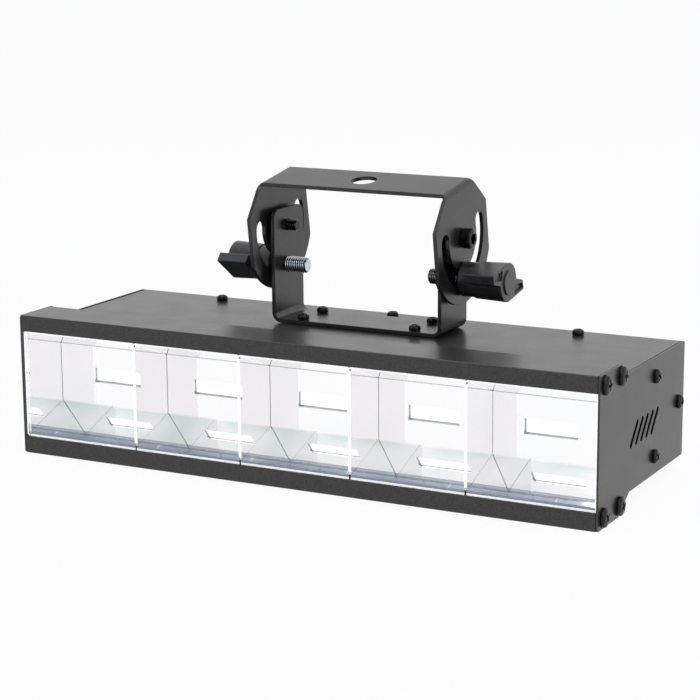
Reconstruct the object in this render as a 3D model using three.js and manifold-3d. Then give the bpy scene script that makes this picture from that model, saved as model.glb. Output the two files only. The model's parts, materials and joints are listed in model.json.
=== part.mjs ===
// A bar strobe light: five mirrored cells in a sheet housing, hung from a tilting yoke.
// Millimetres. X runs along the bar, Y from the window to the rear, Z up.
import * as THREE from 'three';
import { mergeVertices } from 'three/addons/utils/BufferGeometryUtils.js';
import Module from 'manifold-3d';

const wasm = await Module();
wasm.setup();

// Housing
const housingLength = 312;
const housingDepth = 114.2;
const frontHeight = 71.6;
const coverDrop = 6.4;
const trayRise = 8.5;
const sheet = 1;
const fitGap = 0.2;
const seatGap = 0.3;
const cutOverrun = 2;

// End plates, which follow the outline of the rails and of the box behind them
const plateThickness = 1;
const plateCornerRadius = 1.5;
const plateRearRadius = 1;
const plateProud = 0.3;
const earFlat = 27;
const earTail = 40;
const ventCount = 5;
const ventWidth = 2;
const ventLength = 15;
const ventAngle = 49;
const ventPitch = 6.9;
const ventFromRear = 55.2;
const ventDrop = 1.8;

// Front rails, one extrusion above the window and a like one below it
const railWall = 1.2;
const railEdgeRadius = 0.8;
const railFlat = 25.5;
const railTail = 38.5;
const topLip = 8.1;
const bottomLip = 8.8;
const portBore = 1.75;
const portWall = 1.1;
const portStem = 2.2;
const railScrewDepths = [6.9, 27];
const railScrewInset = 5.3;

// Window pane and reflectors
const paneThickness = 1.5;
const paneGrip = 2.2;
const mirrorSheet = 0.6;
const reflectorDepth = 29.5;
const reflectorInset = 1.4;
const reflectorSlope = 19.9;
const reflectorHem = 2.4;
const cellCount = 5;
const cellMargin = 6;
const dividerThickness = 1.1;
const dividerNotch = 1.6;
const hemSlot = 1.2;
const endMirrorLap = 0.8;

// Lamp windows, lamps and what carries them
const lampWindowLength = 27;
const lampWindowHeight = 7.5;
const lampFrameThickness = 2.4;
const lampFrameHalfHeight = 14;
const lampInset = 0.3;
const lampGap = 0.9;
const lampRecess = 0.9;
const boardThickness = 1.6;
const boardMargin = 8;
const boardHalfHeight = 12;
const sinkBase = 3;
const sinkFinDepth = 12;
const sinkFinThickness = 1.5;
const sinkFinCount = 6;
const sinkFoot = 14;
const sinkMargin = 14;

// Folded side tabs of the cover and the tray
const tabDepthY = 16;
const tabHeight = 13;
const coverFront = 31;
const trayFront = 29;
const rearFlange = 15;
const sideTabFromRear = 41.2;
const coverTabDrop = 8.8;
const trayTabRise = 9;
const rearTabInset = 7.8;
const tabBore = 1.6;
const tabScrewClearance = 1.9;

// Screws: head diameter and height, core of the shank, length under the head
const trussScrew = { head: 9.2, rise: 2.2, core: 3.1, length: 10 };
const panScrew = { head: 6, rise: 2.8, core: 2.4, length: 6 };
const trussClearance = 2.2;
const panClearance = 1.7;
const threadClearance = 0.25;
const coverScrewCount = 3;
const coverScrewInset = 54;
const coverScrewOffset = 2;
const coverScrewFromRear = 8.8;
const baseScrewX = 31.3;
const baseScrewReach = 10.2;
const baseScrewShift = 1;
const screwFacets = 12;

// Inner bracket, a channel screwed to the cover
const bracketSheet = 2;
const bracketBendRadius = 5;
const bracketFromRear = 32.2;
const bracketOuterHalf = 47.5;
const bracketDepth = 30;
const bracketAbovePivot = 9.1;
const bracketCornerRadius = 7;

// Yoke, tilted on two pivot screws and clamped by two knobs through arc slots
const yokeOuterHalf = 52.2;
const yokeTop = 26.4;
const yokeBendRadius = 3;
const yokeTopHalf = 14.5;
const yokeShoulderHalf = 29.5;
const yokeShoulderZ = 11.3;
const yokeWaistZ = -14.2;
const yokeLowerRadius = 33;
const yokeRestTilt = 9.3;
const pivotRise = 48.2;
const clampRadius = 20.2;
const slotHalfWidth = 4.2;
const slotRise = 10;
const clampHoleRadius = 6.5;
const arcFacets = 12;

// Pivot screws, clamp studs and their threaded bushes
const pivotRadius = 3;
const pivotClearance = 0.2;
const pivotHeadRadius = 5;
const pivotHeadRise = 5.4;
const pivotLength = 12;
const hexAcross = 5;
const hexDepth = 3;
const studRadius = 4;
const studReach = 17.9;
const studInKnob = 13;
const studChamfer = 0.8;
const bushRadius = 7;
const boreClearance = 0.15;

// Clamp knob, a hub with two wings in the shape of a Z
const knobLength = 25;
const knobCollarRadius = 8.6;
const knobCollarLength = 8;
const knobHubRadius = 9.7;
const knobWingReach = 18;
const knobWingRootZ = -1;
const knobWingTipTopZ = -4.2;
const knobWingTipReach = 17.4;
const knobWingTipBottomZ = -9.3;
const knobDiscRadius = 6.3;
const knobDiscRise = 0.8;
const knobPocketDepth = 1.2;
const knobPocketWall = 1.3;
const knobDraftShare = 0.06;
const rightKnobTurn = 8.8;
const leftKnobTurn = 34;

// Rear panel: mains inlet with fuse drawer, data sockets, display and buttons
const inletFromEnd = 44;
const inletFlange = { width: 50, height: 34, thickness: 2.8 };
const inletBody = { width: 27.2, height: 31, depth: 26 };
const inletCavity = { width: 24.4, height: 16.4, depth: 15, corner: 4 };
const inletCavityRise = 6.2;
const inletPin = { width: 2, height: 4, length: 12, spread: 7, earthRise: 3.6 };
const fuseDrawer = { width: 20, height: 7.2, depth: 18, drop: 9.8, lip: 1.2 };
const fusePull = 16;
const dataFromInlet = [49, 81];
const dataFlange = { width: 26, height: 31, thickness: 2.5, corner: 3 };
const dataBarrel = { radius: 11.6, depth: 20 };
const dataMouthRadius = 9.6;
const dataMouthDepth = 14;
const dataPinRadius = 1.2;
const dataPinCircle = 4.9;
const dataPinLength = 11;
const dataInsertRadius = 7.4;
const dataContactRadius = 1.5;
const displayFromEnd = 94;
const displayRise = 7.1;
const displayWindow = { width: 42, height: 17, thickness: 1.6, lip: 2 };
const buttonCount = 4;
const buttonPitch = 14;
const buttonDrop = 14.9;
const buttonRadius = 3;
const buttonRise = 1.6;
const buttonTravel = 0.8;
const buttonStem = 5.2;
const buttonFlangeRadius = 3.9;
const buttonFlange = 0.8;
const buttonClearance = 0.25;

// Circuit boards inside the box
const controlBoard = { width: 84, height: 39, thickness: 1.6, part: 3, shift: 14 };
const supplyBoard = { x: -20, width: 122, clearance: 5, fromRear: 15.2, thickness: 1.6, standoff: 5,
  post: 3 };
const capacitor = { radius: 9, height: 26, count: 2, pitch: 22 };
const transformer = { width: 34, depth: 20, height: 25 };

// Derived places
const coverTop = frontHeight - coverDrop;
const trayBottom = trayRise;
const panelMidZ = (trayBottom + coverTop) / 2;
const halfLength = housingLength / 2;
const plateInnerX = halfLength - plateThickness;
const railHalf = plateInnerX - fitGap;
const windowBottom = bottomLip;
const windowTop = frontHeight - topLip;
const paneFront = railWall + fitGap / 2;
const reflectorMidZ = (windowBottom + windowTop) / 2;
const reflectorFrontY = paneFront + paneThickness + seatGap;
const reflectorBackY = reflectorFrontY + reflectorDepth;
const reflectorFrontHalf = (windowTop - windowBottom) / 2 - reflectorInset;
const reflectorTaper = Math.tan(THREE.MathUtils.degToRad(reflectorSlope));
const reflectorBackHalf = reflectorFrontHalf - reflectorDepth * reflectorTaper;
const cellPitch = (housingLength - 2 * cellMargin) / cellCount;
const ventCentreY = housingDepth - ventFromRear;
const ventCentreZ = panelMidZ - ventDrop;
const coverTab = { y: housingDepth - sideTabFromRear, z: coverTop - coverTabDrop };
const rearTab = { y: housingDepth - rearTabInset, z: panelMidZ };
const trayTab = { y: housingDepth - sideTabFromRear, z: trayBottom + trayTabRise };
const bracketY = housingDepth - bracketFromRear;
const pivotY = bracketY;
const pivotZ = coverTop + pivotRise;
const bracketTop = pivotZ + bracketAbovePivot;
const clampZ = pivotZ - clampRadius;
const yokeInnerHalf = yokeOuterHalf - bracketSheet;
const bracketInnerHalf = bracketOuterHalf - bracketSheet;
const baseTop = coverTop + fitGap + bracketSheet;
const coverScrewY = housingDepth - coverScrewFromRear;
const coverScrewXs = Array.from({ length: coverScrewCount }, (_, i) =>
  coverScrewOffset + (i - (coverScrewCount - 1) / 2) * (halfLength - coverScrewInset));
const inletX = halfLength - inletFromEnd;
const inletZ = panelMidZ;
const dataXs = dataFromInlet.map((offset) => inletX - offset);
const dataZ = panelMidZ;
const displayX = displayFromEnd - halfLength;
const displayZ = panelMidZ + displayRise;
const buttonZ = panelMidZ - buttonDrop;
const rearOuterY = housingDepth;
const rearInnerY = rearOuterY - sheet;
const lampFrameFront = reflectorBackY + mirrorSheet + fitGap / 2;
const lampFrameBack = lampFrameFront + lampFrameThickness;
const boardFront = lampFrameBack + fitGap;
const boardBack = boardFront + boardThickness;
const sinkFront = boardBack + fitGap;
const sinkBack = sinkFront + sinkBase + sinkFinDepth;

function solidOf(geometry) {
  const bare = geometry.index ? geometry.clone() : geometry;
  bare.deleteAttribute('normal');
  bare.deleteAttribute('uv');
  const merged = mergeVertices(bare);
  const index = merged.index.array;
  const kept = [];
  for (let i = 0; i < index.length; i += 3) {
    const [a, b, c] = [index[i], index[i + 1], index[i + 2]];
    if (a !== b && b !== c && c !== a) kept.push(a, b, c);
  }
  const vertProperties = new Float32Array(merged.attributes.position.array);
  return new wasm.Manifold(new wasm.Mesh({ numProp: 3, vertProperties, triVerts: new Uint32Array(kept) }));
}

function geometryOf(solid) {
  const mesh = solid.getMesh();
  const geometry = new THREE.BufferGeometry();
  geometry.setAttribute('position', new THREE.BufferAttribute(new Float32Array(mesh.vertProperties), 3));
  geometry.setIndex(new THREE.BufferAttribute(new Uint32Array(mesh.triVerts), 1));
  geometry.computeVertexNormals();
  return geometry;
}

// Shapes are drawn in two axes and carried along the third, from low to high
const drawnInYZ = new THREE.Matrix4().makeBasis(
  new THREE.Vector3(0, 1, 0), new THREE.Vector3(0, 0, 1), new THREE.Vector3(1, 0, 0));
const drawnInXZ = new THREE.Matrix4().makeBasis(
  new THREE.Vector3(1, 0, 0), new THREE.Vector3(0, 0, 1), new THREE.Vector3(0, -1, 0));

function extruded(shape, depth, curveSegments = 6) {
  return new THREE.ExtrudeGeometry(shape, { depth, bevelEnabled: false, curveSegments });
}

function alongX(shape, low, high, curveSegments) {
  return solidOf(extruded(shape, high - low, curveSegments).applyMatrix4(drawnInYZ).translate(low, 0, 0));
}

function alongY(shape, low, high, curveSegments) {
  return solidOf(extruded(shape, high - low, curveSegments).applyMatrix4(drawnInXZ).translate(0, high, 0));
}

function alongZ(shape, low, high, curveSegments) {
  return solidOf(extruded(shape, high - low, curveSegments).translate(0, 0, low));
}

function polygon(points) {
  return new THREE.Shape(points.map(([a, b]) => new THREE.Vector2(a, b)));
}

function box(x0, x1, y0, y1, z0, z1) {
  const geometry = new THREE.BoxGeometry(x1 - x0, y1 - y0, z1 - z0);
  return solidOf(geometry.translate((x0 + x1) / 2, (y0 + y1) / 2, (z0 + z1) / 2));
}

function disc(radius, centre = [0, 0]) {
  const shape = new THREE.Shape();
  shape.absarc(centre[0], centre[1], radius, 0, 2 * Math.PI, false);
  return shape;
}

function roundedRectangle(width, height, corner, centre = [0, 0]) {
  const [a, b] = [width / 2 - corner, height / 2 - corner];
  const shape = new THREE.Shape();
  shape.absarc(centre[0] + a, centre[1] - b, corner, -Math.PI / 2, 0, false);
  shape.absarc(centre[0] + a, centre[1] + b, corner, 0, Math.PI / 2, false);
  shape.absarc(centre[0] - a, centre[1] + b, corner, Math.PI / 2, Math.PI, false);
  shape.absarc(centre[0] - a, centre[1] - b, corner, Math.PI, 1.5 * Math.PI, false);
  return shape;
}

function turned(profile, segments) {
  const points = profile.map(([radius, height]) => new THREE.Vector2(radius, height));
  return solidOf(new THREE.LatheGeometry(points, segments).rotateX(Math.PI / 2));
}

function joined(...solids) {
  return solids.reduce((sum, next) => sum.add(next));
}

function cut(solid, ...tools) {
  return tools.reduce((rest, tool) => rest.subtract(tool), solid);
}

const assembly = new THREE.Group();
const finishes = {
  powderCoat: { color: 0x4b4a4b, roughness: 0.55, metalness: 0.1 },
  mirror: { color: 0xe8ebea, roughness: 0.05, metalness: 1 },
  clear: { color: 0xeef2f2, roughness: 0.05, metalness: 0, transparent: true, opacity: 0.3 },
  blackPlastic: { color: 0x18181a, roughness: 0.5, metalness: 0 },
  blackSteel: { color: 0x141415, roughness: 0.3, metalness: 0.6 },
  zinc: { color: 0xb4bcc2, roughness: 0.25, metalness: 1 },
  aluminium: { color: 0xb0b3b5, roughness: 0.4, metalness: 0.9 },
  circuitBoard: { color: 0xdfe4df, roughness: 0.5, metalness: 0 },
  greenBoard: { color: 0x1f5a38, roughness: 0.5, metalness: 0 },
  lampWhite: { color: 0xf6f4ea, roughness: 0.6, metalness: 0 },
  darkPlastic: { color: 0x3a3b3d, roughness: 0.6, metalness: 0 },
};

function piece(name, solid, finish, holder = assembly) {
  const mesh = new THREE.Mesh(geometryOf(solid), new THREE.MeshStandardMaterial(finishes[finish]));
  mesh.name = name;
  holder.add(mesh);
  return mesh;
}

// End plates: thin plates with a raised ear in front, vent slots and seven screw holes each
function endPlateOutline() {
  const low = trayBottom;
  const high = coverTop + plateProud;
  const shape = new THREE.Shape();
  shape.absarc(plateCornerRadius, plateCornerRadius, plateCornerRadius, Math.PI, 1.5 * Math.PI, false);
  shape.lineTo(earFlat, 0);
  shape.lineTo(earTail, low);
  shape.absarc(housingDepth - plateRearRadius, low + plateRearRadius, plateRearRadius, -Math.PI / 2, 0, false);
  shape.absarc(housingDepth - plateRearRadius, high - plateRearRadius, plateRearRadius, 0, Math.PI / 2, false);
  shape.lineTo(earTail, high);
  shape.lineTo(earFlat, frontHeight);
  const frontTop = frontHeight - plateCornerRadius;
  shape.absarc(plateCornerRadius, frontTop, plateCornerRadius, Math.PI / 2, Math.PI, false);
  return shape;
}

function ventSlot(index) {
  const angle = THREE.MathUtils.degToRad(ventAngle);
  const run = (ventLength - ventWidth) / 2;
  const shape = new THREE.Shape();
  shape.absarc(run, 0, ventWidth / 2, -Math.PI / 2, Math.PI / 2, false);
  shape.absarc(-run, 0, ventWidth / 2, Math.PI / 2, 1.5 * Math.PI, false);
  const offset = (index - (ventCount - 1) / 2) * ventPitch;
  const slot = extruded(shape, plateThickness + 2 * cutOverrun, 3).rotateZ(angle);
  return slot.translate(ventCentreY + offset, ventCentreZ, 0).applyMatrix4(drawnInYZ);
}

const railScrewPlaces = railScrewDepths.flatMap((y) =>
  [[y, frontHeight - railScrewInset], [y, railScrewInset]]);
const tabScrewPlaces = [coverTab, rearTab, trayTab].map((tab) => [tab.y, tab.z]);

function endPlate(side) {
  const [low, high] = side > 0 ? [plateInnerX, halfLength] : [-halfLength, -plateInnerX];
  let plate = alongX(endPlateOutline(), low, high, 4);
  for (let i = 0; i < ventCount; i += 1) {
    plate = plate.subtract(solidOf(ventSlot(i).translate(low - cutOverrun, 0, 0)));
  }
  for (const place of railScrewPlaces) {
    plate = plate.subtract(alongX(disc(trussClearance, place), low - cutOverrun, high + cutOverrun, 6));
  }
  for (const place of tabScrewPlaces) {
    plate = plate.subtract(alongX(disc(tabScrewClearance, place), low - cutOverrun, high + cutOverrun, 6));
  }
  return plate;
}

piece('right_end_plate', endPlate(1), 'powderCoat');
piece('left_end_plate', endPlate(-1), 'powderCoat');

// Rails: a lip in front of the window, a flat top, a sloping tail and two screw ports.
// Drawn with the lip hanging down, and turned over for the rail below the window.
function railSection(lip, tailZ) {
  const slope = Math.atan2(tailZ, railTail - railFlat);
  const wallAcross = railWall / Math.sin(slope);
  const wallInset = railWall * Math.tan(slope / 2);
  const shape = new THREE.Shape();
  shape.moveTo(0, -lip);
  shape.lineTo(railWall, -lip);
  shape.lineTo(railWall, -railWall);
  shape.lineTo(railFlat - wallInset, -railWall);
  shape.lineTo(railTail - wallAcross, -tailZ);
  shape.lineTo(railTail, -tailZ);
  shape.lineTo(railFlat, 0);
  shape.absarc(railEdgeRadius, -railEdgeRadius, railEdgeRadius, Math.PI / 2, Math.PI, false);
  return shape;
}

function rail(lip, tailZ) {
  let body = alongX(railSection(lip, tailZ), -railHalf, railHalf, 3);
  for (const y of railScrewDepths) {
    const port = disc(portBore + portWall, [y, -railScrewInset]);
    const stem = box(-railHalf, railHalf, y - portStem / 2, y + portStem / 2, -railScrewInset, -railWall / 2);
    body = joined(body, alongX(port, -railHalf, railHalf, 5), stem);
  }
  for (const y of railScrewDepths) {
    const bore = disc(portBore, [y, -railScrewInset]);
    body = body.subtract(alongX(bore, -railHalf - cutOverrun, railHalf + cutOverrun, 5));
  }
  return body;
}

piece('top_rail', rail(topLip, frontHeight - coverTop - fitGap), 'powderCoat').position.z = frontHeight;
const bottomRail = rail(bottomLip, trayBottom - fitGap);
piece('bottom_rail', bottomRail.mirror([0, 0, 1]), 'powderCoat');

// Top cover and tray: folded sheet with a screw tab at each side
const sheetHalf = railHalf - fitGap;

function sideTabs(tab, y0, y1, low, high) {
  return [-1, 1].map((side) => {
    const outer = side * sheetHalf;
    const inner = outer - side * sheet;
    const [x0, x1] = [Math.min(inner, outer), Math.max(inner, outer)];
    const flap = box(x0, x1, y0, y1, low, high);
    return flap.subtract(alongX(disc(tabBore, [tab.y, tab.z]), x0 - cutOverrun, x1 + cutOverrun, 5));
  });
}

let cover = box(-sheetHalf, sheetHalf, coverFront, rearOuterY, coverTop - sheet, coverTop);
cover = joined(cover, ...sideTabs(coverTab, coverTab.y - tabDepthY / 2, coverTab.y + tabDepthY / 2,
  coverTop - tabHeight - sheet, coverTop - sheet / 2));
const coverSpan = [coverTop - sheet - cutOverrun, coverTop + cutOverrun];
for (const x of coverScrewXs) {
  cover = cover.subtract(alongZ(disc(panClearance, [x, coverScrewY]), ...coverSpan));
}
const baseScrewY = bracketY - baseScrewShift;
const baseScrewPlaces = [-1, 1].flatMap((sx) =>
  [-1, 1].map((sy) => [sx * baseScrewX, baseScrewY + sy * baseScrewReach]));
for (const place of baseScrewPlaces) {
  cover = cover.subtract(alongZ(disc(tabBore, place), ...coverSpan));
}
piece('top_cover', cover, 'powderCoat');

const flangeTop = coverTop - sheet - fitGap;
let tray = box(-sheetHalf, sheetHalf, trayFront, rearOuterY, trayBottom, trayBottom + sheet);
tray = tray.add(box(-sheetHalf, sheetHalf, rearInnerY, rearOuterY, trayBottom, flangeTop));
const flangeHalf = sheetHalf - tabDepthY;
tray = tray.add(box(-flangeHalf, flangeHalf, rearInnerY - rearFlange, rearInnerY + sheet / 2,
  flangeTop - sheet, flangeTop));
tray = joined(tray, ...sideTabs(trayTab, trayTab.y - tabDepthY / 2, trayTab.y + tabDepthY / 2,
  trayBottom + sheet / 2, trayBottom + sheet + tabHeight));
tray = joined(tray, ...sideTabs(rearTab, rearOuterY - tabDepthY, rearInnerY + sheet / 2,
  rearTab.z - tabHeight / 2, rearTab.z + tabHeight / 2));
for (const x of coverScrewXs) {
  tray = tray.subtract(alongZ(disc(tabBore, [x, coverScrewY]),
    flangeTop - sheet - cutOverrun, flangeTop + cutOverrun));
}
const rearLow = rearInnerY - cutOverrun;
const rearHigh = rearOuterY + cutOverrun;
const [inletHoleWidth, inletHoleHeight] = [inletBody.width + 2 * seatGap, inletBody.height + 2 * seatGap];
const inletHole = roundedRectangle(inletHoleWidth, inletHoleHeight, 1, [inletX, inletZ]);
tray = tray.subtract(alongY(inletHole, rearLow, rearHigh));
for (const x of dataXs) {
  tray = tray.subtract(alongY(disc(dataBarrel.radius + seatGap, [x, dataZ]), rearLow, rearHigh, 10));
}
const displayHole = roundedRectangle(displayWindow.width, displayWindow.height, 1, [displayX, displayZ]);
tray = tray.subtract(alongY(displayHole, rearLow, rearHigh));
const buttonXs = Array.from({ length: buttonCount }, (_, i) =>
  displayX + (i - (buttonCount - 1) / 2) * buttonPitch);
for (const x of buttonXs) {
  tray = tray.subtract(alongY(disc(buttonRadius + buttonClearance, [x, buttonZ]), rearLow, rearHigh, 6));
}
piece('chassis_tray', tray, 'powderCoat');

// Window pane, held behind the lips and between the end mirrors
const mirrorHalf = plateInnerX - fitGap - mirrorSheet - fitGap / 2;
piece('front_pane', box(-mirrorHalf, mirrorHalf, paneFront, paneFront + paneThickness,
  windowBottom - paneGrip, windowTop + paneGrip), 'clear');

// Reflector trough: one folded mirror sheet with a window for each lamp
const cellCentres = Array.from({ length: cellCount }, (_, i) => (i - (cellCount - 1) / 2) * cellPitch);

function troughSection() {
  const slope = Math.atan2(reflectorFrontHalf - reflectorBackHalf, reflectorBackY - reflectorFrontY);
  const lift = mirrorSheet / Math.cos(slope);
  const backLift = mirrorSheet * Math.tan((Math.PI / 2 - slope) / 2);
  const upper = [
    [reflectorFrontY, reflectorFrontHalf],
    [reflectorFrontY, reflectorFrontHalf + reflectorHem],
    [reflectorFrontY + mirrorSheet, reflectorFrontHalf + reflectorHem],
    [reflectorFrontY + mirrorSheet, reflectorFrontHalf + lift - mirrorSheet * Math.tan(slope)],
    [reflectorBackY + mirrorSheet, reflectorBackHalf + backLift],
  ];
  const inner = [[reflectorBackY, -reflectorBackHalf], [reflectorBackY, reflectorBackHalf]];
  const lower = upper.map(([y, z]) => [y, -z]).reverse();
  const shift = ([y, z]) => [y, reflectorMidZ + z];
  return polygon([...upper, ...lower, ...inner].map(shift));
}

let trough = alongX(troughSection(), -mirrorHalf, mirrorHalf);
for (const x of cellCentres) {
  trough = trough.subtract(box(x - lampWindowLength / 2, x + lampWindowLength / 2,
    reflectorBackY - cutOverrun, reflectorBackY + cutOverrun,
    reflectorMidZ - lampWindowHeight / 2, reflectorMidZ + lampWindowHeight / 2));
}
for (let i = 1; i < cellCount; i += 1) {
  const x = (i - cellCount / 2) * cellPitch;
  for (const side of [-1, 1]) {
    const edge = side * (reflectorFrontHalf - dividerNotch / 2);
    const outer = side * (reflectorFrontHalf + reflectorHem + cutOverrun);
    trough = trough.subtract(box(x - hemSlot / 2, x + hemSlot / 2,
      reflectorFrontY - cutOverrun, reflectorFrontY + dividerNotch,
      reflectorMidZ + Math.min(edge, outer), reflectorMidZ + Math.max(edge, outer)));
  }
}
piece('reflector_trough', trough, 'mirror');

// Mirrored walls in the trough's section: four between the cells, and a wider one that closes each end
function mirrorWall(low, high, { notch, lap, frontY }) {
  const slope = (reflectorFrontHalf - reflectorBackHalf) / (reflectorBackY - reflectorFrontY);
  const front = reflectorFrontHalf + lap;
  const back = reflectorBackHalf + lap;
  const backY = reflectorBackY + lap;
  const upper = [[backY, back], [frontY + notch, front - notch * slope], [frontY, front - notch]];
  const lower = upper.map(([y, z]) => [y, -z]).reverse();
  return alongX(polygon([...upper, ...lower].map(([y, z]) => [y, reflectorMidZ + z])), low, high);
}

const dividerEdges = { notch: dividerNotch, lap: -fitGap, frontY: paneFront + paneThickness + fitGap };
const endMirrorEdges = { notch: 0, lap: endMirrorLap, frontY: paneFront };
for (let i = 1; i < cellCount; i += 1) {
  const x = (i - cellCount / 2) * cellPitch;
  const divider = mirrorWall(x - dividerThickness / 2, x + dividerThickness / 2, dividerEdges);
  piece(`cell_divider_${i}`, divider, 'mirror');
}
const endMirrorOuter = plateInnerX - fitGap;
const endMirrorInner = endMirrorOuter - mirrorSheet;
piece('right_end_mirror', mirrorWall(endMirrorInner, endMirrorOuter, endMirrorEdges), 'mirror');
piece('left_end_mirror', mirrorWall(-endMirrorOuter, -endMirrorInner, endMirrorEdges), 'mirror');

// Lamp frame, lamps, lamp board and finned heat sink behind the trough
const boardHalf = plateInnerX - boardMargin;
let lampFrame = box(-boardHalf, boardHalf, lampFrameFront, lampFrameBack,
  reflectorMidZ - lampFrameHalfHeight, reflectorMidZ + lampFrameHalfHeight);
for (const x of cellCentres) {
  lampFrame = lampFrame.subtract(box(x - lampWindowLength / 2, x + lampWindowLength / 2,
    lampFrameFront - cutOverrun, lampFrameBack + cutOverrun,
    reflectorMidZ - lampWindowHeight / 2, reflectorMidZ + lampWindowHeight / 2));
}
piece('lamp_frame', lampFrame, 'darkPlastic');
piece('lamp_board', box(-boardHalf, boardHalf, boardFront, boardBack,
  reflectorMidZ - boardHalfHeight, reflectorMidZ + boardHalfHeight), 'circuitBoard');
cellCentres.forEach((x, i) => {
  const halfX = lampWindowLength / 2;
  const halfZ = lampWindowHeight / 2;
  piece(`lamp_${i + 1}`, box(x - halfX + lampGap, x + halfX - lampInset,
    reflectorBackY + lampRecess, boardFront - fitGap / 2,
    reflectorMidZ - halfZ + lampGap, reflectorMidZ + halfZ - lampInset), 'lampWhite');
});

const sinkHalf = plateInnerX - sinkMargin;
const sinkLow = trayBottom + sheet + fitGap;
const sinkTop = reflectorMidZ + lampFrameHalfHeight;
let sink = joined(box(-sinkHalf, sinkHalf, sinkFront, sinkFront + sinkBase, sinkLow, sinkTop),
  box(-sinkHalf, sinkHalf, sinkFront, sinkFront + sinkFoot, sinkLow, sinkLow + sinkFinThickness));
const finPitch = (sinkTop - sinkLow - sinkFinThickness) / sinkFinCount;
for (let i = 1; i <= sinkFinCount; i += 1) {
  const z = sinkLow + i * finPitch;
  sink = sink.add(box(-sinkHalf, sinkHalf, sinkFront + sinkBase / 2, sinkBack, z, z + sinkFinThickness));
}
piece('heat_sink', sink, 'aluminium');

// Screws: a domed head and a shank core along +Z from the origin, pointing down
function screw({ head, rise, core, length }, domeShare) {
  const radius = head / 2;
  const edge = rise * domeShare;
  const quarter = Array.from({ length: 3 }, (_, i) => {
    const t = (i / 3) * (Math.PI / 2);
    return [radius * Math.cos(t), edge + (rise - edge) * Math.sin(t)];
  });
  const shank = [[0, -length], [core / 2, -length], [core / 2, 0]];
  return turned([...shank, [radius, 0], ...quarter, [0, rise]], screwFacets);
}

const flatHeadShare = 0.2;
const panHeadShare = 0.45;

function placed(mesh, x, y, z, turn) {
  mesh.position.set(x, y, z);
  if (turn) mesh.rotation.y = turn;
  return mesh;
}

for (const [sideName, side] of [['right', 1], ['left', -1]]) {
  railScrewPlaces.forEach(([y, z], i) => {
    const mesh = piece(`${sideName}_rail_screw_${i + 1}`, screw(trussScrew, flatHeadShare), 'blackSteel');
    placed(mesh, side * (halfLength + fitGap), y, z, side * Math.PI / 2);
  });
}
coverScrewXs.forEach((x, i) => {
  const mesh = piece(`cover_screw_${i + 1}`, screw(panScrew, panHeadShare), 'blackSteel');
  placed(mesh, x, coverScrewY, coverTop + fitGap);
});

// Inner bracket: a channel with upright ears, screwed to the cover through its base
function channel(halfWidth, height, outer) {
  const inner = outer - bracketSheet;
  const shape = new THREE.Shape();
  shape.moveTo(-halfWidth, -height);
  shape.lineTo(-halfWidth + bracketSheet, -height);
  shape.absarc(-halfWidth + outer, -outer, inner, Math.PI, Math.PI / 2, true);
  shape.absarc(halfWidth - outer, -outer, inner, Math.PI / 2, 0, true);
  shape.lineTo(halfWidth - bracketSheet, -height);
  shape.lineTo(halfWidth, -height);
  shape.absarc(halfWidth - outer, -outer, outer, 0, Math.PI / 2, false);
  shape.absarc(-halfWidth + outer, -outer, outer, Math.PI / 2, Math.PI, false);
  return shape;
}

function earOutline() {
  const half = bracketDepth / 2;
  const r = bracketCornerRadius;
  const low = coverTop;
  const shape = new THREE.Shape();
  shape.moveTo(bracketY - half, low);
  shape.lineTo(bracketY + half, low);
  shape.absarc(bracketY + half - r, bracketTop - r, r, 0, Math.PI / 2, false);
  shape.absarc(bracketY - half + r, bracketTop - r, r, Math.PI / 2, Math.PI, false);
  return shape;
}

const bracketBottom = coverTop + fitGap;
const bracketHeight = bracketTop - bracketBottom;
let bracket = alongY(channel(bracketOuterHalf, bracketHeight, bracketBendRadius),
  -bracketDepth / 2, bracketDepth / 2, 4);
bracket = bracket.rotate([180, 0, 0]).translate([0, bracketY, bracketBottom]);
const earSpan = [-bracketOuterHalf - cutOverrun, bracketOuterHalf + cutOverrun];
bracket = bracket.intersect(alongX(earOutline(), ...earSpan, 6));
bracket = bracket.subtract(alongX(disc(pivotRadius + boreClearance, [pivotY, pivotZ]), ...earSpan, 6));
bracket = bracket.subtract(alongX(disc(studRadius + boreClearance, [pivotY, clampZ]), ...earSpan, 6));
for (const place of baseScrewPlaces) {
  const hole = alongZ(disc(panClearance, place), bracketBottom - cutOverrun, baseTop + cutOverrun);
  bracket = bracket.subtract(hole);
}
piece('inner_bracket', bracket, 'powderCoat');
baseScrewPlaces.forEach(([x, y], i) => {
  const mesh = piece(`base_screw_${i + 1}`, screw(panScrew, panHeadShare), 'blackSteel');
  placed(mesh, x, y, baseTop + fitGap);
});

// Yoke: a channel cut to a shouldered outline, drawn about the pivot and then tilted
function yokeOutline() {
  const waistHalf = Math.sqrt(yokeLowerRadius ** 2 - yokeWaistZ ** 2);
  const start = Math.atan2(yokeWaistZ, -waistHalf);
  const end = Math.atan2(yokeWaistZ, waistHalf);
  const shape = new THREE.Shape();
  shape.moveTo(yokeTopHalf, yokeTop + cutOverrun);
  shape.lineTo(-yokeTopHalf, yokeTop + cutOverrun);
  shape.lineTo(-yokeTopHalf, yokeTop);
  shape.lineTo(-yokeShoulderHalf, yokeShoulderZ);
  shape.absarc(0, 0, yokeLowerRadius, start, end, false);
  shape.lineTo(yokeShoulderHalf, yokeShoulderZ);
  shape.lineTo(yokeTopHalf, yokeTop);
  return shape;
}

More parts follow.
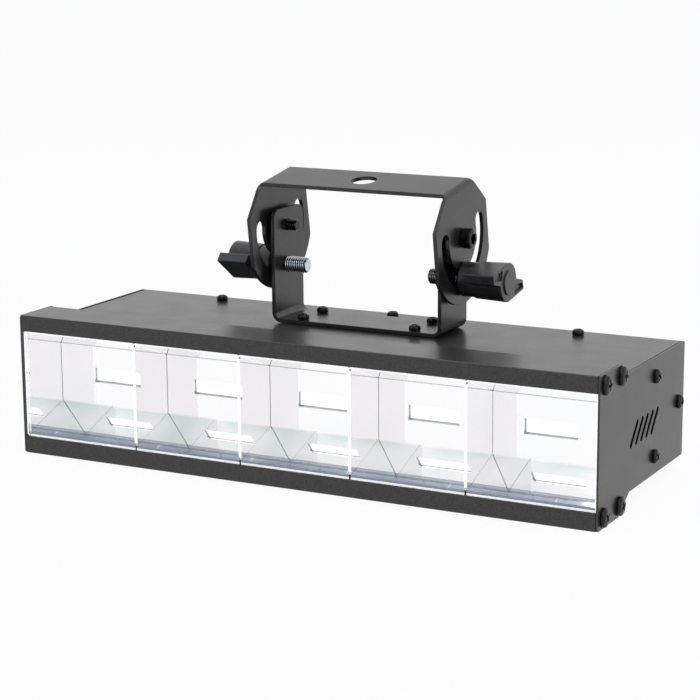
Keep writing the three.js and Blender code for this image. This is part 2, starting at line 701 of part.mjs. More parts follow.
function arcSlot() {
  const rise = THREE.MathUtils.degToRad(slotRise);
  const at = (angle) => [clampRadius * Math.cos(angle), clampRadius * Math.sin(angle)];
  const [front, rear] = [at(Math.PI - rise), at(rise)];
  const shape = new THREE.Shape();
  shape.absarc(0, 0, clampRadius + slotHalfWidth, Math.PI - rise, 2 * Math.PI + rise, false);
  shape.absarc(rear[0], rear[1], slotHalfWidth, rise, rise + Math.PI, false);
  shape.absarc(0, 0, clampRadius - slotHalfWidth, 2 * Math.PI + rise, Math.PI - rise, true);
  shape.absarc(front[0], front[1], slotHalfWidth, -rise, -rise + Math.PI, false);
  return shape;
}

const yokeHolder = new THREE.Group();
yokeHolder.position.set(0, pivotY, pivotZ);
yokeHolder.rotation.x = THREE.MathUtils.degToRad(yokeRestTilt);
assembly.add(yokeHolder);
const yokeDrop = yokeTop + yokeLowerRadius + cutOverrun;
let yoke = alongY(channel(yokeOuterHalf, yokeDrop, yokeBendRadius), -yokeLowerRadius, yokeLowerRadius, 4);
yoke = yoke.translate([0, 0, yokeTop]);
const yokeSpan = [-yokeOuterHalf - cutOverrun, yokeOuterHalf + cutOverrun];
yoke = yoke.intersect(alongX(yokeOutline(), ...yokeSpan, arcFacets));
yoke = yoke.subtract(alongX(arcSlot(), ...yokeSpan, arcFacets));
yoke = yoke.subtract(alongX(disc(pivotRadius + pivotClearance), ...yokeSpan, 8));
yoke = yoke.subtract(alongZ(disc(clampHoleRadius),
  yokeTop - bracketSheet - cutOverrun, yokeTop + cutOverrun, 10));
piece('outer_yoke', yoke, 'powderCoat', yokeHolder);

// Pivot screws, threaded bushes on the ears, clamp studs and knobs, in a frame that points outwards
function hexPrism(across, low, high) {
  const corners = Array.from({ length: 6 }, (_, i) => {
    const angle = (i * Math.PI) / 3;
    return [across / Math.sqrt(3) * Math.cos(angle), across / Math.sqrt(3) * Math.sin(angle)];
  });
  return alongZ(polygon(corners), low, high);
}

function pivotScrew() {
  const bevel = studChamfer;
  const under = seatGap - fitGap;
  const body = turned([
    [0, -pivotLength], [pivotRadius - bevel, -pivotLength], [pivotRadius, bevel - pivotLength],
    [pivotRadius, under], [pivotHeadRadius, under], [pivotHeadRadius, pivotHeadRise - bevel / 2],
    [pivotHeadRadius - bevel / 2, pivotHeadRise], [0, pivotHeadRise],
  ], 2 * screwFacets);
  return body.subtract(hexPrism(hexAcross, pivotHeadRise - hexDepth, pivotHeadRise + cutOverrun));
}

function bush(boreRadius) {
  const length = yokeInnerHalf - bracketOuterHalf - 2 * fitGap;
  const radius = boreRadius + boreClearance;
  const ring = [[radius, 0], [bushRadius, 0], [bushRadius, length], [radius, length], [radius, 0]];
  return turned(ring, 2 * screwFacets);
}

function clampStud() {
  const inner = -studReach;
  const outer = studInKnob;
  return turned([
    [0, inner], [studRadius - studChamfer, inner], [studRadius, inner + studChamfer],
    [studRadius, outer], [0, outer],
  ], 2 * screwFacets);
}

// The knob's face: a round hub with one wing low on one side and its like high on the other
function knobFace(inset) {
  const hub = knobHubRadius - inset;
  const reach = knobWingReach - inset;
  const tip = knobWingTipReach - inset;
  const start = Math.asin((knobWingRootZ - inset) / hub);
  const shape = new THREE.Shape();
  for (const half of [0, Math.PI]) {
    const at = (a, b) => [a * Math.cos(half) - b * Math.sin(half), a * Math.sin(half) + b * Math.cos(half)];
    if (half === 0) shape.moveTo(...at(0, -hub));
    shape.lineTo(...at(reach, knobWingTipBottomZ + inset));
    shape.lineTo(...at(tip, knobWingTipTopZ - inset));
    shape.absarc(0, 0, hub, start + half, Math.PI / 2 + half, false);
  }
  return shape;
}

function knobPocket(turn) {
  const wall = knobPocketWall;
  const points = [
    [knobDiscRadius + wall, knobWingRootZ - 2 * wall], [knobWingTipReach - wall, knobWingTipTopZ - wall],
    [knobWingReach - wall, knobWingTipBottomZ + wall], [knobDiscRadius, knobWingTipBottomZ + wall],
  ].reverse();
  const wing = polygon(points);
  const top = knobLength - knobDiscRise;
  const pocket = extruded(wing, knobPocketDepth + cutOverrun).rotateZ(turn);
  return solidOf(pocket.translate(0, 0, top - knobPocketDepth));
}

function clampKnob() {
  const top = knobLength - knobDiscRise;
  const wingLow = knobCollarLength;
  const geometry = extruded(knobFace(0), top - wingLow, 8).translate(0, 0, wingLow);
  const position = geometry.attributes.position;
  for (let i = 0; i < position.count; i += 1) {
    const share = 1 - knobDraftShare * (top - position.getZ(i)) / (top - wingLow);
    position.setXY(i, position.getX(i) * share, position.getY(i) * share);
  }
  const collar = turned([
    [0, 0], [knobCollarRadius - studChamfer, 0], [knobCollarRadius, studChamfer],
    [knobCollarRadius, wingLow + studChamfer], [0, wingLow + studChamfer],
  ], 2 * screwFacets);
  const bevel = studChamfer / 2;
  const face = turned([
    [0, wingLow], [knobDiscRadius, wingLow], [knobDiscRadius, knobLength - bevel],
    [knobDiscRadius - bevel, knobLength], [0, knobLength],
  ], 2 * screwFacets);
  const bore = turned([
    [0, -cutOverrun], [studRadius + boreClearance, -cutOverrun],
    [studRadius + boreClearance, studInKnob + seatGap], [0, studInKnob + seatGap],
  ], 2 * screwFacets);
  return cut(joined(solidOf(geometry), collar, face), knobPocket(0), knobPocket(Math.PI), bore);
}

for (const [sideName, side, knobTurn] of [['right', 1, rightKnobTurn], ['left', -1, leftKnobTurn]]) {
  const outward = new THREE.Group();
  outward.position.y = pivotY;
  outward.rotation.y = side * Math.PI / 2;
  assembly.add(outward);
  const height = (z) => -side * z;
  const pivot = piece(`${sideName}_pivot_screw`, pivotScrew(), 'blackSteel', outward);
  pivot.position.set(height(pivotZ), 0, yokeOuterHalf + fitGap);
  const pivotBush = piece(`${sideName}_pivot_bush`, bush(pivotRadius), 'zinc', outward);
  pivotBush.position.set(height(pivotZ), 0, bracketOuterHalf + fitGap);
  const clampBush = piece(`${sideName}_clamp_bush`, bush(studRadius), 'zinc', outward);
  clampBush.position.set(height(clampZ), 0, bracketOuterHalf + fitGap);
  const stud = piece(`${sideName}_clamp_stud`, clampStud(), 'zinc', outward);
  stud.position.set(height(clampZ), 0, yokeOuterHalf + fitGap);
  const knob = piece(`${sideName}_clamp_knob`, clampKnob(), 'blackPlastic', outward);
  knob.position.set(height(clampZ), 0, yokeOuterHalf + seatGap);
  knob.rotation.z = THREE.MathUtils.degToRad(knobTurn) + (side > 0 ? Math.PI / 2 : -Math.PI / 2);
}

// Mains inlet: a flanged body with a recess for the plug, three blades and a pocket for the fuse drawer
function inletSolid() {
  const { width, height, thickness } = inletFlange;
  const face = rearOuterY + fitGap + thickness;
  const back = rearOuterY - inletBody.depth;
  const body = joined(
    alongY(roundedRectangle(width, height, 3, [inletX, inletZ]), rearOuterY + fitGap, face, 3),
    box(inletX - inletBody.width / 2, inletX + inletBody.width / 2, back, rearOuterY + fitGap + sheet,
      inletZ - inletBody.height / 2, inletZ + inletBody.height / 2));
  const cavityZ = inletZ + inletCavityRise;
  const [halfW, halfH, corner] = [inletCavity.width / 2, inletCavity.height / 2, inletCavity.corner];
  const mouth = polygon([
    [inletX - halfW, cavityZ - halfH], [inletX + halfW, cavityZ - halfH],
    [inletX + halfW, cavityZ + halfH - corner],
    [inletX + halfW - corner, cavityZ + halfH], [inletX - halfW + corner, cavityZ + halfH],
    [inletX - halfW, cavityZ + halfH - corner],
  ]);
  const cavityBack = face - inletCavity.depth;
  let solid = body.subtract(alongY(mouth, cavityBack, face + cutOverrun));
  const pocketZ = inletZ - fuseDrawer.drop;
  const pocketHalfX = fuseDrawer.width / 2 + seatGap;
  const pocketHalfZ = fuseDrawer.height / 2 + seatGap;
  solid = solid.subtract(box(inletX - pocketHalfX, inletX + pocketHalfX,
    face - fuseDrawer.depth - seatGap, face + cutOverrun, pocketZ - pocketHalfZ, pocketZ + pocketHalfZ));
  for (const [dx, dz] of [[-inletPin.spread, 0], [inletPin.spread, 0], [0, inletPin.earthRise]]) {
    const [x, z] = [inletX + dx, cavityZ + dz];
    solid = solid.add(box(x - inletPin.width / 2, x + inletPin.width / 2,
      cavityBack - sheet, cavityBack + inletPin.length, z - inletPin.height / 2, z + inletPin.height / 2));
  }
  return solid;
}

piece('mains_inlet', inletSolid(), 'blackPlastic');
const inletFace = rearOuterY + fitGap + inletFlange.thickness;
const drawerZ = inletZ - fuseDrawer.drop;
const drawerBack = inletFace - fuseDrawer.depth;
let drawer = box(inletX - fuseDrawer.width / 2, inletX + fuseDrawer.width / 2, drawerBack, inletFace,
  drawerZ - fuseDrawer.height / 2, drawerZ + fuseDrawer.height / 2);
const drawerLip = fuseDrawer.lip;
const troughHalfX = fuseDrawer.width / 2 - drawerLip;
drawer = drawer.subtract(box(inletX - troughHalfX, inletX + troughHalfX,
  drawerBack + drawerLip, inletFace - 2 * drawerLip,
  drawerZ - fuseDrawer.height / 2 + drawerLip, drawerZ + fuseDrawer.height / 2 + cutOverrun));
piece('fuse_drawer', drawer, 'blackPlastic');

// Data sockets: a square flange, a barrel and a round mouth with pins or with a contact insert
function dataSocket(x, withPins) {
  const { width, height, thickness, corner } = dataFlange;
  const face = rearOuterY + fitGap + thickness;
  let solid = alongY(roundedRectangle(width, height, corner, [x, dataZ]), rearOuterY + fitGap, face, 3);
  solid = solid.add(alongY(disc(dataBarrel.radius, [x, dataZ]), rearOuterY - dataBarrel.depth,
    rearOuterY + fitGap + sheet, 10));
  const floor = face - dataMouthDepth;
  solid = solid.subtract(alongY(disc(dataMouthRadius, [x, dataZ]), floor, face + cutOverrun, 10));
  const contacts = [0, 1, 2].map((i) => {
    const angle = Math.PI / 2 + (i - 1) * (Math.PI / 2) + Math.PI;
    return [x + dataPinCircle * Math.cos(angle), dataZ + dataPinCircle * Math.sin(angle)];
  });
  if (withPins) {
    for (const place of contacts) {
      solid = solid.add(alongY(disc(dataPinRadius, place), floor - sheet, floor + dataPinLength, 3));
    }
    return solid;
  }
  solid = solid.add(alongY(disc(dataInsertRadius, [x, dataZ]), floor - sheet, face - sheet, 8));
  for (const place of contacts) {
    solid = solid.subtract(alongY(disc(dataContactRadius, place), floor + sheet, face + cutOverrun, 3));
  }
  return solid;
}

piece('data_output_socket', dataSocket(dataXs[0], false), 'blackPlastic');
piece('data_input_socket', dataSocket(dataXs[1], true), 'blackPlastic');

// Display window, pressed into the panel from behind, and the buttons below it
const lensHalfW = displayWindow.width / 2 - fitGap;
const lensHalfH = displayWindow.height / 2 - fitGap;
const lensFace = roundedRectangle(2 * lensHalfW, 2 * lensHalfH, 1, [displayX, displayZ]);
const lens = joined(
  alongY(lensFace, rearInnerY - displayWindow.thickness, rearOuterY),
  box(displayX - lensHalfW - displayWindow.lip, displayX + lensHalfW + displayWindow.lip,
    rearInnerY - fitGap - displayWindow.thickness, rearInnerY - fitGap,
    displayZ - lensHalfH - displayWindow.lip, displayZ + lensHalfH + displayWindow.lip));
piece('display_window', lens, 'darkPlastic');

const capTop = rearOuterY + buttonRise;
const flangeHigh = rearInnerY - seatGap;
const stemLow = flangeHigh - buttonStem;
for (let i = 0; i < buttonCount; i += 1) {
  const profile = [
    [0, stemLow], [buttonRadius / 2, stemLow], [buttonRadius / 2, flangeHigh - buttonFlange],
    [buttonFlangeRadius, flangeHigh - buttonFlange], [buttonFlangeRadius, flangeHigh],
    [buttonRadius, flangeHigh], [buttonRadius, capTop - buttonFlange / 2],
    [buttonRadius - buttonFlange / 2, capTop], [0, capTop],
  ];
  const mesh = piece(`button_${i + 1}`, turned(profile, screwFacets), 'blackPlastic');
  mesh.rotation.x = -Math.PI / 2;
  mesh.position.set(buttonXs[i], 0, buttonZ);
}

// Control board behind the panel, on posts, and the supply board on the tray
const controlFront = stemLow - seatGap - buttonTravel;
const controlLow = controlFront - controlBoard.thickness;
const controlZ = (displayZ + buttonZ) / 2;
const controlX = displayX - controlBoard.shift;
const controlSpan = [controlX - controlBoard.width / 2, controlX + controlBoard.width / 2];
const postInset = supplyBoard.post;
let control = box(...controlSpan, controlLow, controlFront, controlZ - controlBoard.height / 2,
  controlZ + controlBoard.height / 2);
control = control.add(box(displayX - lensHalfW, displayX + lensHalfW, controlFront - sheet / 2,
  rearInnerY - 2 * displayWindow.thickness, displayZ - lensHalfH, displayZ + lensHalfH));
const postRise = controlBoard.height / 2 - postInset;
for (const x of [controlSpan[0] + postInset, controlSpan[1] - postInset]) {
  for (const z of [controlZ - postRise, controlZ + postRise]) {
    const post = disc(supplyBoard.post / 2, [x, z]);
    control = control.add(alongY(post, controlFront - sheet / 2, rearInnerY - fitGap, 4));
  }
}
for (const x of buttonXs) {
  control = control.add(box(x - controlBoard.part, x + controlBoard.part, controlLow - controlBoard.part,
    controlLow + sheet / 2, controlZ - controlBoard.part, controlZ + controlBoard.part));
}
piece('control_board', control, 'greenBoard');

const supplyLow = trayBottom + sheet + supplyBoard.standoff;
const supplyHigh = supplyLow + supplyBoard.thickness;
const supplySpanX = [supplyBoard.x - supplyBoard.width / 2, supplyBoard.x + supplyBoard.width / 2];
const supplySpanY = [sinkBack + supplyBoard.clearance, housingDepth - supplyBoard.fromRear];
let supply = box(...supplySpanX, ...supplySpanY, supplyLow, supplyHigh);
for (const x of [supplySpanX[0] + postInset, supplySpanX[1] - postInset]) {
  for (const y of [supplySpanY[0] + postInset, supplySpanY[1] - postInset]) {
    const post = disc(supplyBoard.post / 2, [x, y]);
    supply = supply.add(alongZ(post, trayBottom + sheet + fitGap, supplyLow + sheet / 2, 4));
  }
}
const supplyMidY = supplySpanY[0] + transformer.depth / 2 + postInset;
const transformerX = supplySpanX[0] + transformer.width / 2 + 2 * postInset;
supply = supply.add(box(transformerX - transformer.width / 2, transformerX + transformer.width / 2,
  supplyMidY - transformer.depth / 2, supplyMidY + transformer.depth / 2,
  supplyHigh - sheet / 2, supplyHigh + transformer.height));
for (let i = 0; i < capacitor.count; i += 1) {
  const x = transformerX + transformer.width / 2 + (i + 1) * capacitor.pitch - capacitor.radius;
  supply = supply.add(alongZ(disc(capacitor.radius, [x, supplyMidY]), supplyHigh - sheet / 2,
    supplyHigh + capacitor.height, 6));
}
piece('power_supply', supply, 'greenBoard');

// The origin is under the middle of the whole light
const bounds = new THREE.Box3().setFromObject(assembly);
const middle = bounds.getCenter(new THREE.Vector3());
assembly.position.set(-middle.x, -middle.y, -bounds.min.z);
const light = new THREE.Group();
light.add(assembly);
export default light;
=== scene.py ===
import json
import math

import bmesh
import bpy
import numpy as np
from mathutils import Matrix, Vector
from mathutils.geometry import delaunay_2d_cdt


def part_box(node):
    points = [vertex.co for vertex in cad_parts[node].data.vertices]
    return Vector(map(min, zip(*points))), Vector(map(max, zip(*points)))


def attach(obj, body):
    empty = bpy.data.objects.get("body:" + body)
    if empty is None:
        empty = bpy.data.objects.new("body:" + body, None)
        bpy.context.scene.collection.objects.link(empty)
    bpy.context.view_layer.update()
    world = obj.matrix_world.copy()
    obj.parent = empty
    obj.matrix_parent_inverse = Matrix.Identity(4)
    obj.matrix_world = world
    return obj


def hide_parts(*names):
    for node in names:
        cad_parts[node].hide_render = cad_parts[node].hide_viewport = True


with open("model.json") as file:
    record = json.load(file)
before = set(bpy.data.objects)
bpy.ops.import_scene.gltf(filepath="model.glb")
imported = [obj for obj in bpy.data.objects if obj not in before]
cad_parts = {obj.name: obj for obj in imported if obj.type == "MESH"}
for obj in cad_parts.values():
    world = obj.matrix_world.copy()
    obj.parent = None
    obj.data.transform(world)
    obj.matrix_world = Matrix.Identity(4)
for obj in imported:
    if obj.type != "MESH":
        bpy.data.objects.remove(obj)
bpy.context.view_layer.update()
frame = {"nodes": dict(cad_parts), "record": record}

# A bar strobe light with five mirrored cells, hung from a tilting yoke.
# Metres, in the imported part's frame: X along the bar, Y to the rear, Z up.
MM = 0.001
TURN = 2 * math.pi
SIDES = {"right": 1, "left": -1}

# How finely things are drawn, in steps
ROUND_STEPS = 48
CORNER_STEPS = 6
END_STEPS = 12
EDGE_STEPS = 3
FOLD_STEPS = 10
FOLD_SPOTS = 20
YOKE_ARC_STEPS = 192
HEAD_ROWS = 22
CROSS_STEPS = 72
THREAD_ROWS = 12
FLUTE_STEPS = 144
FLOOR_STEPS = 64

# How near points are one, in millimetres in a triangulation and in metres in a mesh, and what is sharp
WELD = 1e-7
MERGE = 1e-7
SHARP = math.radians(38)

# Cut and folded sheet
CUT_EDGE = 0.22 * MM
SHEET = 2 * MM
SEAT = 0.1 * MM

# Yoke, drawn about its pivot
YOKE_HALF = 52.2 * MM
YOKE_TOP = 26.4 * MM
YOKE_FOLD = 3 * MM
YOKE_TOP_HALF = 14.5 * MM
SHOULDER = (29.5 * MM, 11.3 * MM)
WAIST_Z = -14.2 * MM
LOWER_RADIUS = 33 * MM
YOKE_TILT = math.radians(9.3)
CLAMP_RADIUS = 20.2 * MM
SLOT_HALF = 4.2 * MM
SLOT_RISE = math.radians(10)
CLAMP_HOLE = 6.5 * MM
PIVOT_HOLE = 3.2 * MM

# Inner bracket
BRACKET_FOLD = 5 * MM
EAR_RADIUS = 4.5 * MM
EAR_PIVOT_HOLE = 3.15 * MM
EAR_STUD_HOLE = 4.15 * MM
PAN_HOLE = 1.7 * MM

# End plates, with places as (along Y, up)
PLATE = 1 * MM
PLATE_PROUD = 0.3 * MM
PLATE_CORNERS = np.array([1.5, 0.6, 0.6, 1.0, 1.0, 0.6, 0.6, 1.5]) * MM
EAR_FLAT = 27 * MM
EAR_TAIL = 40 * MM
TRAY_RISE = 8.5 * MM
TRUSS_HOLE = 2.2 * MM
TAB_HOLE = 1.9 * MM
TAB_PLACES = np.array([(14.4, 56.4), (47.8, 36.85), (14.4, 17.5)]) * MM
VENT_COUNT = 5
VENT_WIDTH = 2.5 * MM
VENT_LENGTH = 15 * MM
VENT_PITCH = 6.9 * MM
VENT_LEAN = math.radians(49)
VENT_MIDDLE = (0.4 * MM, 35.05 * MM)

# Cross-recess screws: head diameter and height, core and length of the shank, width of the cross
TRUSS = {"head": 9.2 * MM, "rise": 2.2 * MM, "core": 3.1 * MM, "length": 10 * MM, "cross": 4.8 * MM}
PAN = {"head": 6.0 * MM, "rise": 2.8 * MM, "core": 2.4 * MM, "length": 6 * MM, "cross": 3.6 * MM}
TAB = {"head": 6.8 * MM, "rise": 2.2 * MM, "core": 2.8 * MM, "length": 4 * MM, "cross": 4.0 * MM}
FLUSH = {"head": 5.2 * MM, "rise": 0.2 * MM, "core": 2.4 * MM, "length": 2 * MM, "cross": 3.2 * MM}
FLANGE_SCREWS = ((-9.5 * MM, 12 * MM), (9.5 * MM, -12 * MM))
TRUSS_DOME = 2.6
PAN_DOME = 3.2
HEAD_EDGE = 0.3
HEAD_BEVEL = 0.25
RECESS_WIDTH = 1.0 * MM
RECESS_DEPTH = 1.5 * MM
RECESS_TAPER = 0.55
RECESS_WALL = 0.3 * MM
CROSS_CHAMFER = 0.4 * MM
SCREW_TWIST = math.radians(37)
CROSS_SCREWS = 25

# Pivot screws with a fluted head and a hexagonal socket, and clamp studs
PIVOT = {"head": 10 * MM, "rise": 5.4 * MM, "thread": 6 * MM, "pitch": 1.0 * MM, "length": 12 * MM,
         "socket": 5 * MM, "deep": 3 * MM, "point": 0.75 * MM, "bevel": 0.8 * MM, "under": 0.1 * MM,
         "turn": math.radians(12)}
STUD = {"thread": 8 * MM, "pitch": 1.25 * MM, "bevel": 0.8 * MM, "in_knob": 13 * MM}
FLUTES = 36
FLUTE_DEPTH = 0.15 * MM
THREAD_DEPTH = 0.6
THREAD_FLAT = 0.1

# Clamp knob
KNOB = {"length": 25 * MM, "collar": 8.6 * MM, "collar_length": 8 * MM, "hub": 9.7 * MM, "reach": 18 * MM,
        "root": -1 * MM, "root_arc": math.radians(10), "tip_reach": 17.4 * MM, "tip_high": -4.2 * MM,
        "tip_low": -9.3 * MM, "disc": 6.3 * MM, "disc_rise": 0.8 * MM, "pocket": 1.2 * MM, "wall": 1.3 * MM,
        "draft": 0.06, "bore": 4.15 * MM, "bevel": 0.8 * MM, "round": 0.8 * MM, "soft": 0.5 * MM}
KNOB_TURN = {"right": math.radians(8.8), "left": math.radians(34)}

# Zones of the reflector's painted light and shade: its matt hem, painted white or with a painted reflection,
# the painted shade at its folds, the painted reflection of a band in front, and the painted highlight beside
# each lamp
TROUGH_SHEET = 0.6 * MM
HEM = 0.7 * MM
HEM_GREY = 13.4 * MM
FOLD_RISE = 15.3 * MM
FOLD_LINE = 0.3 * MM
BAND_DEPTH = 5.4 * MM
BAND_HALF = 1.1 * MM
PAINTED_GLOW_SHIFT = 22 * MM

# Zones of the coat's painted shade: the gap at the cover's joints and the walls of the vent slots
JOINT_SHADE_WIDTH = 0.8 * MM
SLOT_LIP = 0.1 * MM
VENT_FIELD = (26 * MM, 9 * MM)

# Zones of a stud's painted shade: how far from its axis the thread's roots are painted dark, then how far it
# runs to bright
THREAD_CORE = 3.2 * MM
THREAD_DARK = 3.45 * MM
THREAD_BRIGHT = 3.95 * MM

# Which way a fitting's own axes point, by the side that it faces
OUTWARD = {
    "right": ((0, 1, 0), (0, 0, 1), (1, 0, 0)),
    "left": ((0, -1, 0), (0, 0, 1), (-1, 0, 0)),
    "up": ((1, 0, 0), (0, 1, 0), (0, 0, 1)),
    "rear": ((-1, 0, 0), (0, 0, 1), (0, 1, 0)),
}

# Camera, found from the photograph's own straight edges
LENS_PIXELS = 2127.6
IMAGE_PIXELS = 700
SENSOR = 36.0
CAMERA_PLACE = (0.4798, -0.9141, 0.2852)
CAMERA_AZIMUTH = math.radians(27.62)
CAMERA_ELEVATION = math.radians(12.47)
CAMERA_ROLL = math.radians(-0.40)

# Light and floor: the room's plain light, its dim corner, soft lamps, and the floor's rings
AMBIENT = 0.55
DIM_CORNER = {"towards": (0.0, -0.6, 0.8), "start": 0.72, "end": 0.8, "tone": (186, 192, 210)}
LAMPS = [
    {"place": (0.1, -0.5, 1.5), "size": 1.6, "power": 14},
    {"place": (1.5, -0.5, 0.7), "size": 1.0, "power": 5},
]
LAMP_TARGET = (0, 0, 0.05)
FLOOR_RADII = (6.0, 2.0, 0.8, 0.3, 0.0)
FLOOR_GLOW = 0.93


# Places read from the frame
def box_of(node):
    """A node's lowest and highest corners, as arrays."""
    return [np.array(corner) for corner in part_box(node)]


def centre_of(node):
    """The middle of a node's box."""
    return sum(box_of(node)) / 2


pivot_place = centre_of("right_pivot_screw")
clamp_place = centre_of("right_clamp_stud")
cover_end, _, cover_top = box_of("top_cover")[1]
plate_face = box_of("right_end_plate")[1][0]
trough_low, trough_high = box_of("reflector_trough")
panel_depth = trough_high[1] - TROUGH_SHEET
panel_middle = centre_of("reflector_trough")[2]
cell_pitch = (centre_of("cell_divider_2") - centre_of("cell_divider_1"))[0]


# Materials
def tint(red, green, blue):
    """A colour as a screen shows it, 0 to 255, turned into the linear values that a shader takes."""
    share = np.array([red, green, blue]) / 255
    linear = np.where(share > 0.04045, ((share + 0.055) / 1.055) ** 2.4, share / 12.92)
    return (*linear.tolist(), 1.0)


def new_finish(name, **settings):
    """A material with one Principled shader, whose constant settings sit on its own sockets."""
    material = bpy.data.materials.new(name)
    material.use_nodes = True
    tree = material.node_tree
    shader = next(node for node in tree.nodes if node.type == "BSDF_PRINCIPLED")
    for socket, value in settings.items():
        shader.inputs[socket.replace("_", " ")].default_value = value
    return material, tree, shader


def object_coordinates(tree, stretch=(1, 1, 1)):
    """Object coordinates, scaled along each axis."""
    coordinates = tree.nodes.new("ShaderNodeTexCoord")
    mapping = tree.nodes.new("ShaderNodeMapping")
    mapping.inputs["Scale"].default_value = stretch
    tree.links.new(coordinates.outputs["Object"], mapping.inputs["Vector"])
    return mapping.outputs["Vector"]


def noise(tree, vector, scale, detail):
    """A cloud pattern from 0 to 1, with grains of about one over the scale, in metres."""
    node = tree.nodes.new("ShaderNodeTexNoise")
    node.inputs["Scale"].default_value = scale
    node.inputs["Detail"].default_value = detail
    tree.links.new(vector, node.inputs["Vector"])
    return node.outputs["Fac"]


def spread(tree, source, low, high, start=0.3, end=0.7):
    """Maps a pattern's range from start to end onto low to high."""
    node = tree.nodes.new("ShaderNodeMapRange")
    for socket, value in (("From Min", start), ("From Max", end), ("To Min", low), ("To Max", high)):
        node.inputs[socket].default_value = value
    tree.links.new(source, node.inputs["Value"])
    return node.outputs["Result"]


def two_tones(tree, source, dark, light, start=0.3, end=0.7):
    """A colour that runs from dark to light as a pattern rises."""
    node = tree.nodes.new("ShaderNodeValToRGB")
    for element, place, colour in zip(node.color_ramp.elements, (start, end), (dark, light)):
        element.position = place
        element.color = colour
    tree.links.new(source, node.inputs["Fac"])
    return node.outputs["Color"]


def relief(tree, shader, height, strength, depth):
    """A fine surface relief from a height pattern."""
    node = tree.nodes.new("ShaderNodeBump")
    node.inputs["Strength"].default_value = strength
    node.inputs["Distance"].default_value = depth
    tree.links.new(height, node.inputs["Height"])
    tree.links.new(node.outputs["Normal"], shader.inputs["Normal"])


def part_of(tree, vector, axis):
    """One coordinate of a vector."""
    split = tree.nodes.new("ShaderNodeSeparateXYZ")
    tree.links.new(vector, split.inputs[0])
    return split.outputs[axis]


def worked(tree, operation, *sources):
    """A Math node on sources, each a number or another node's output."""
    node = tree.nodes.new("ShaderNodeMath")
    node.operation = operation
    for socket, source in zip(node.inputs, sources):
        if isinstance(source, (int, float)):
            socket.default_value = source
        else:
            tree.links.new(source, socket)
    return node.outputs[0]


def mixed(tree, factor, first, second):
    """A colour between two, each a fixed colour or another node's output."""
    node = tree.nodes.new("ShaderNodeMix")
    node.data_type = "RGBA"
    tree.links.new(factor, node.inputs["Factor"])
    for socket, source in ((node.inputs["A"], first), (node.inputs["B"], second)):
        if isinstance(source, tuple):
            socket.default_value = source
        else:
            tree.links.new(source, socket)
    return node.outputs["Result"]


def powder_coat(name="powder_coat", deep=None, dark=(31, 29, 29), light=(54, 51, 51)):
    """Dark grey powder coat: an orange-peel grain about a millimetre across, slightly uneven in gloss.
    Where deep marks the gap at a joint or the wall of a slot, painted shade makes it nearly black, and it is
    without gloss."""
    material, tree, shader = new_finish(name, Metallic=0.0, Specular_IOR_Level=0.5)
    vector = object_coordinates(tree)
    grain = noise(tree, vector, scale=1200, detail=2.0)
    patches = noise(tree, vector, scale=60, detail=3.0)
    tone = two_tones(tree, grain, tint(*dark), tint(*light))
    if deep:
        painted_shade_mask = deep(tree, vector)
        # painted shade: where the mask is 1, the coat is painted nearly black for the shade in joint gaps and
        # slot walls
        tone = mixed(tree, painted_shade_mask, tone, tint(10, 10, 10))
        gloss = spread(tree, painted_shade_mask, low=0.5, high=0.05, start=0, end=1)
        tree.links.new(gloss, shader.inputs["Specular IOR Level"])
    tree.links.new(tone, shader.inputs["Base Color"])
    tree.links.new(spread(tree, patches, low=0.27, high=0.31), shader.inputs["Roughness"])
    relief(tree, shader, grain, strength=0.06, depth=0.03 * MM)
    return material


def cover_joint_shade(tree, vector):
    """1 along the cover's two ends, in the gap where it meets the end plates, where painted shade stands for
    the gap's shadow.
    """
    from_middle = worked(tree, "ABSOLUTE", part_of(tree, vector, "X"))
    return worked(tree, "GREATER_THAN", from_middle, cover_end - JOINT_SHADE_WIDTH)


def slot_wall_shade(tree, vector):
    """1 on the walls of the vent slots, behind the end plates' outer faces, where painted shade darkens them.
    """
    from_middle = worked(tree, "ABSOLUTE", part_of(tree, vector, "X"))
    behind = worked(tree, "LESS_THAN", from_middle, plate_face - SLOT_LIP)
    beside = worked(tree, "COMPARE", part_of(tree, vector, "Y"), VENT_MIDDLE[0], VENT_FIELD[0])
    level = worked(tree, "COMPARE", part_of(tree, vector, "Z"), VENT_MIDDLE[1], VENT_FIELD[1])
    return worked(tree, "MULTIPLY", behind, worked(tree, "MULTIPLY", beside, level))


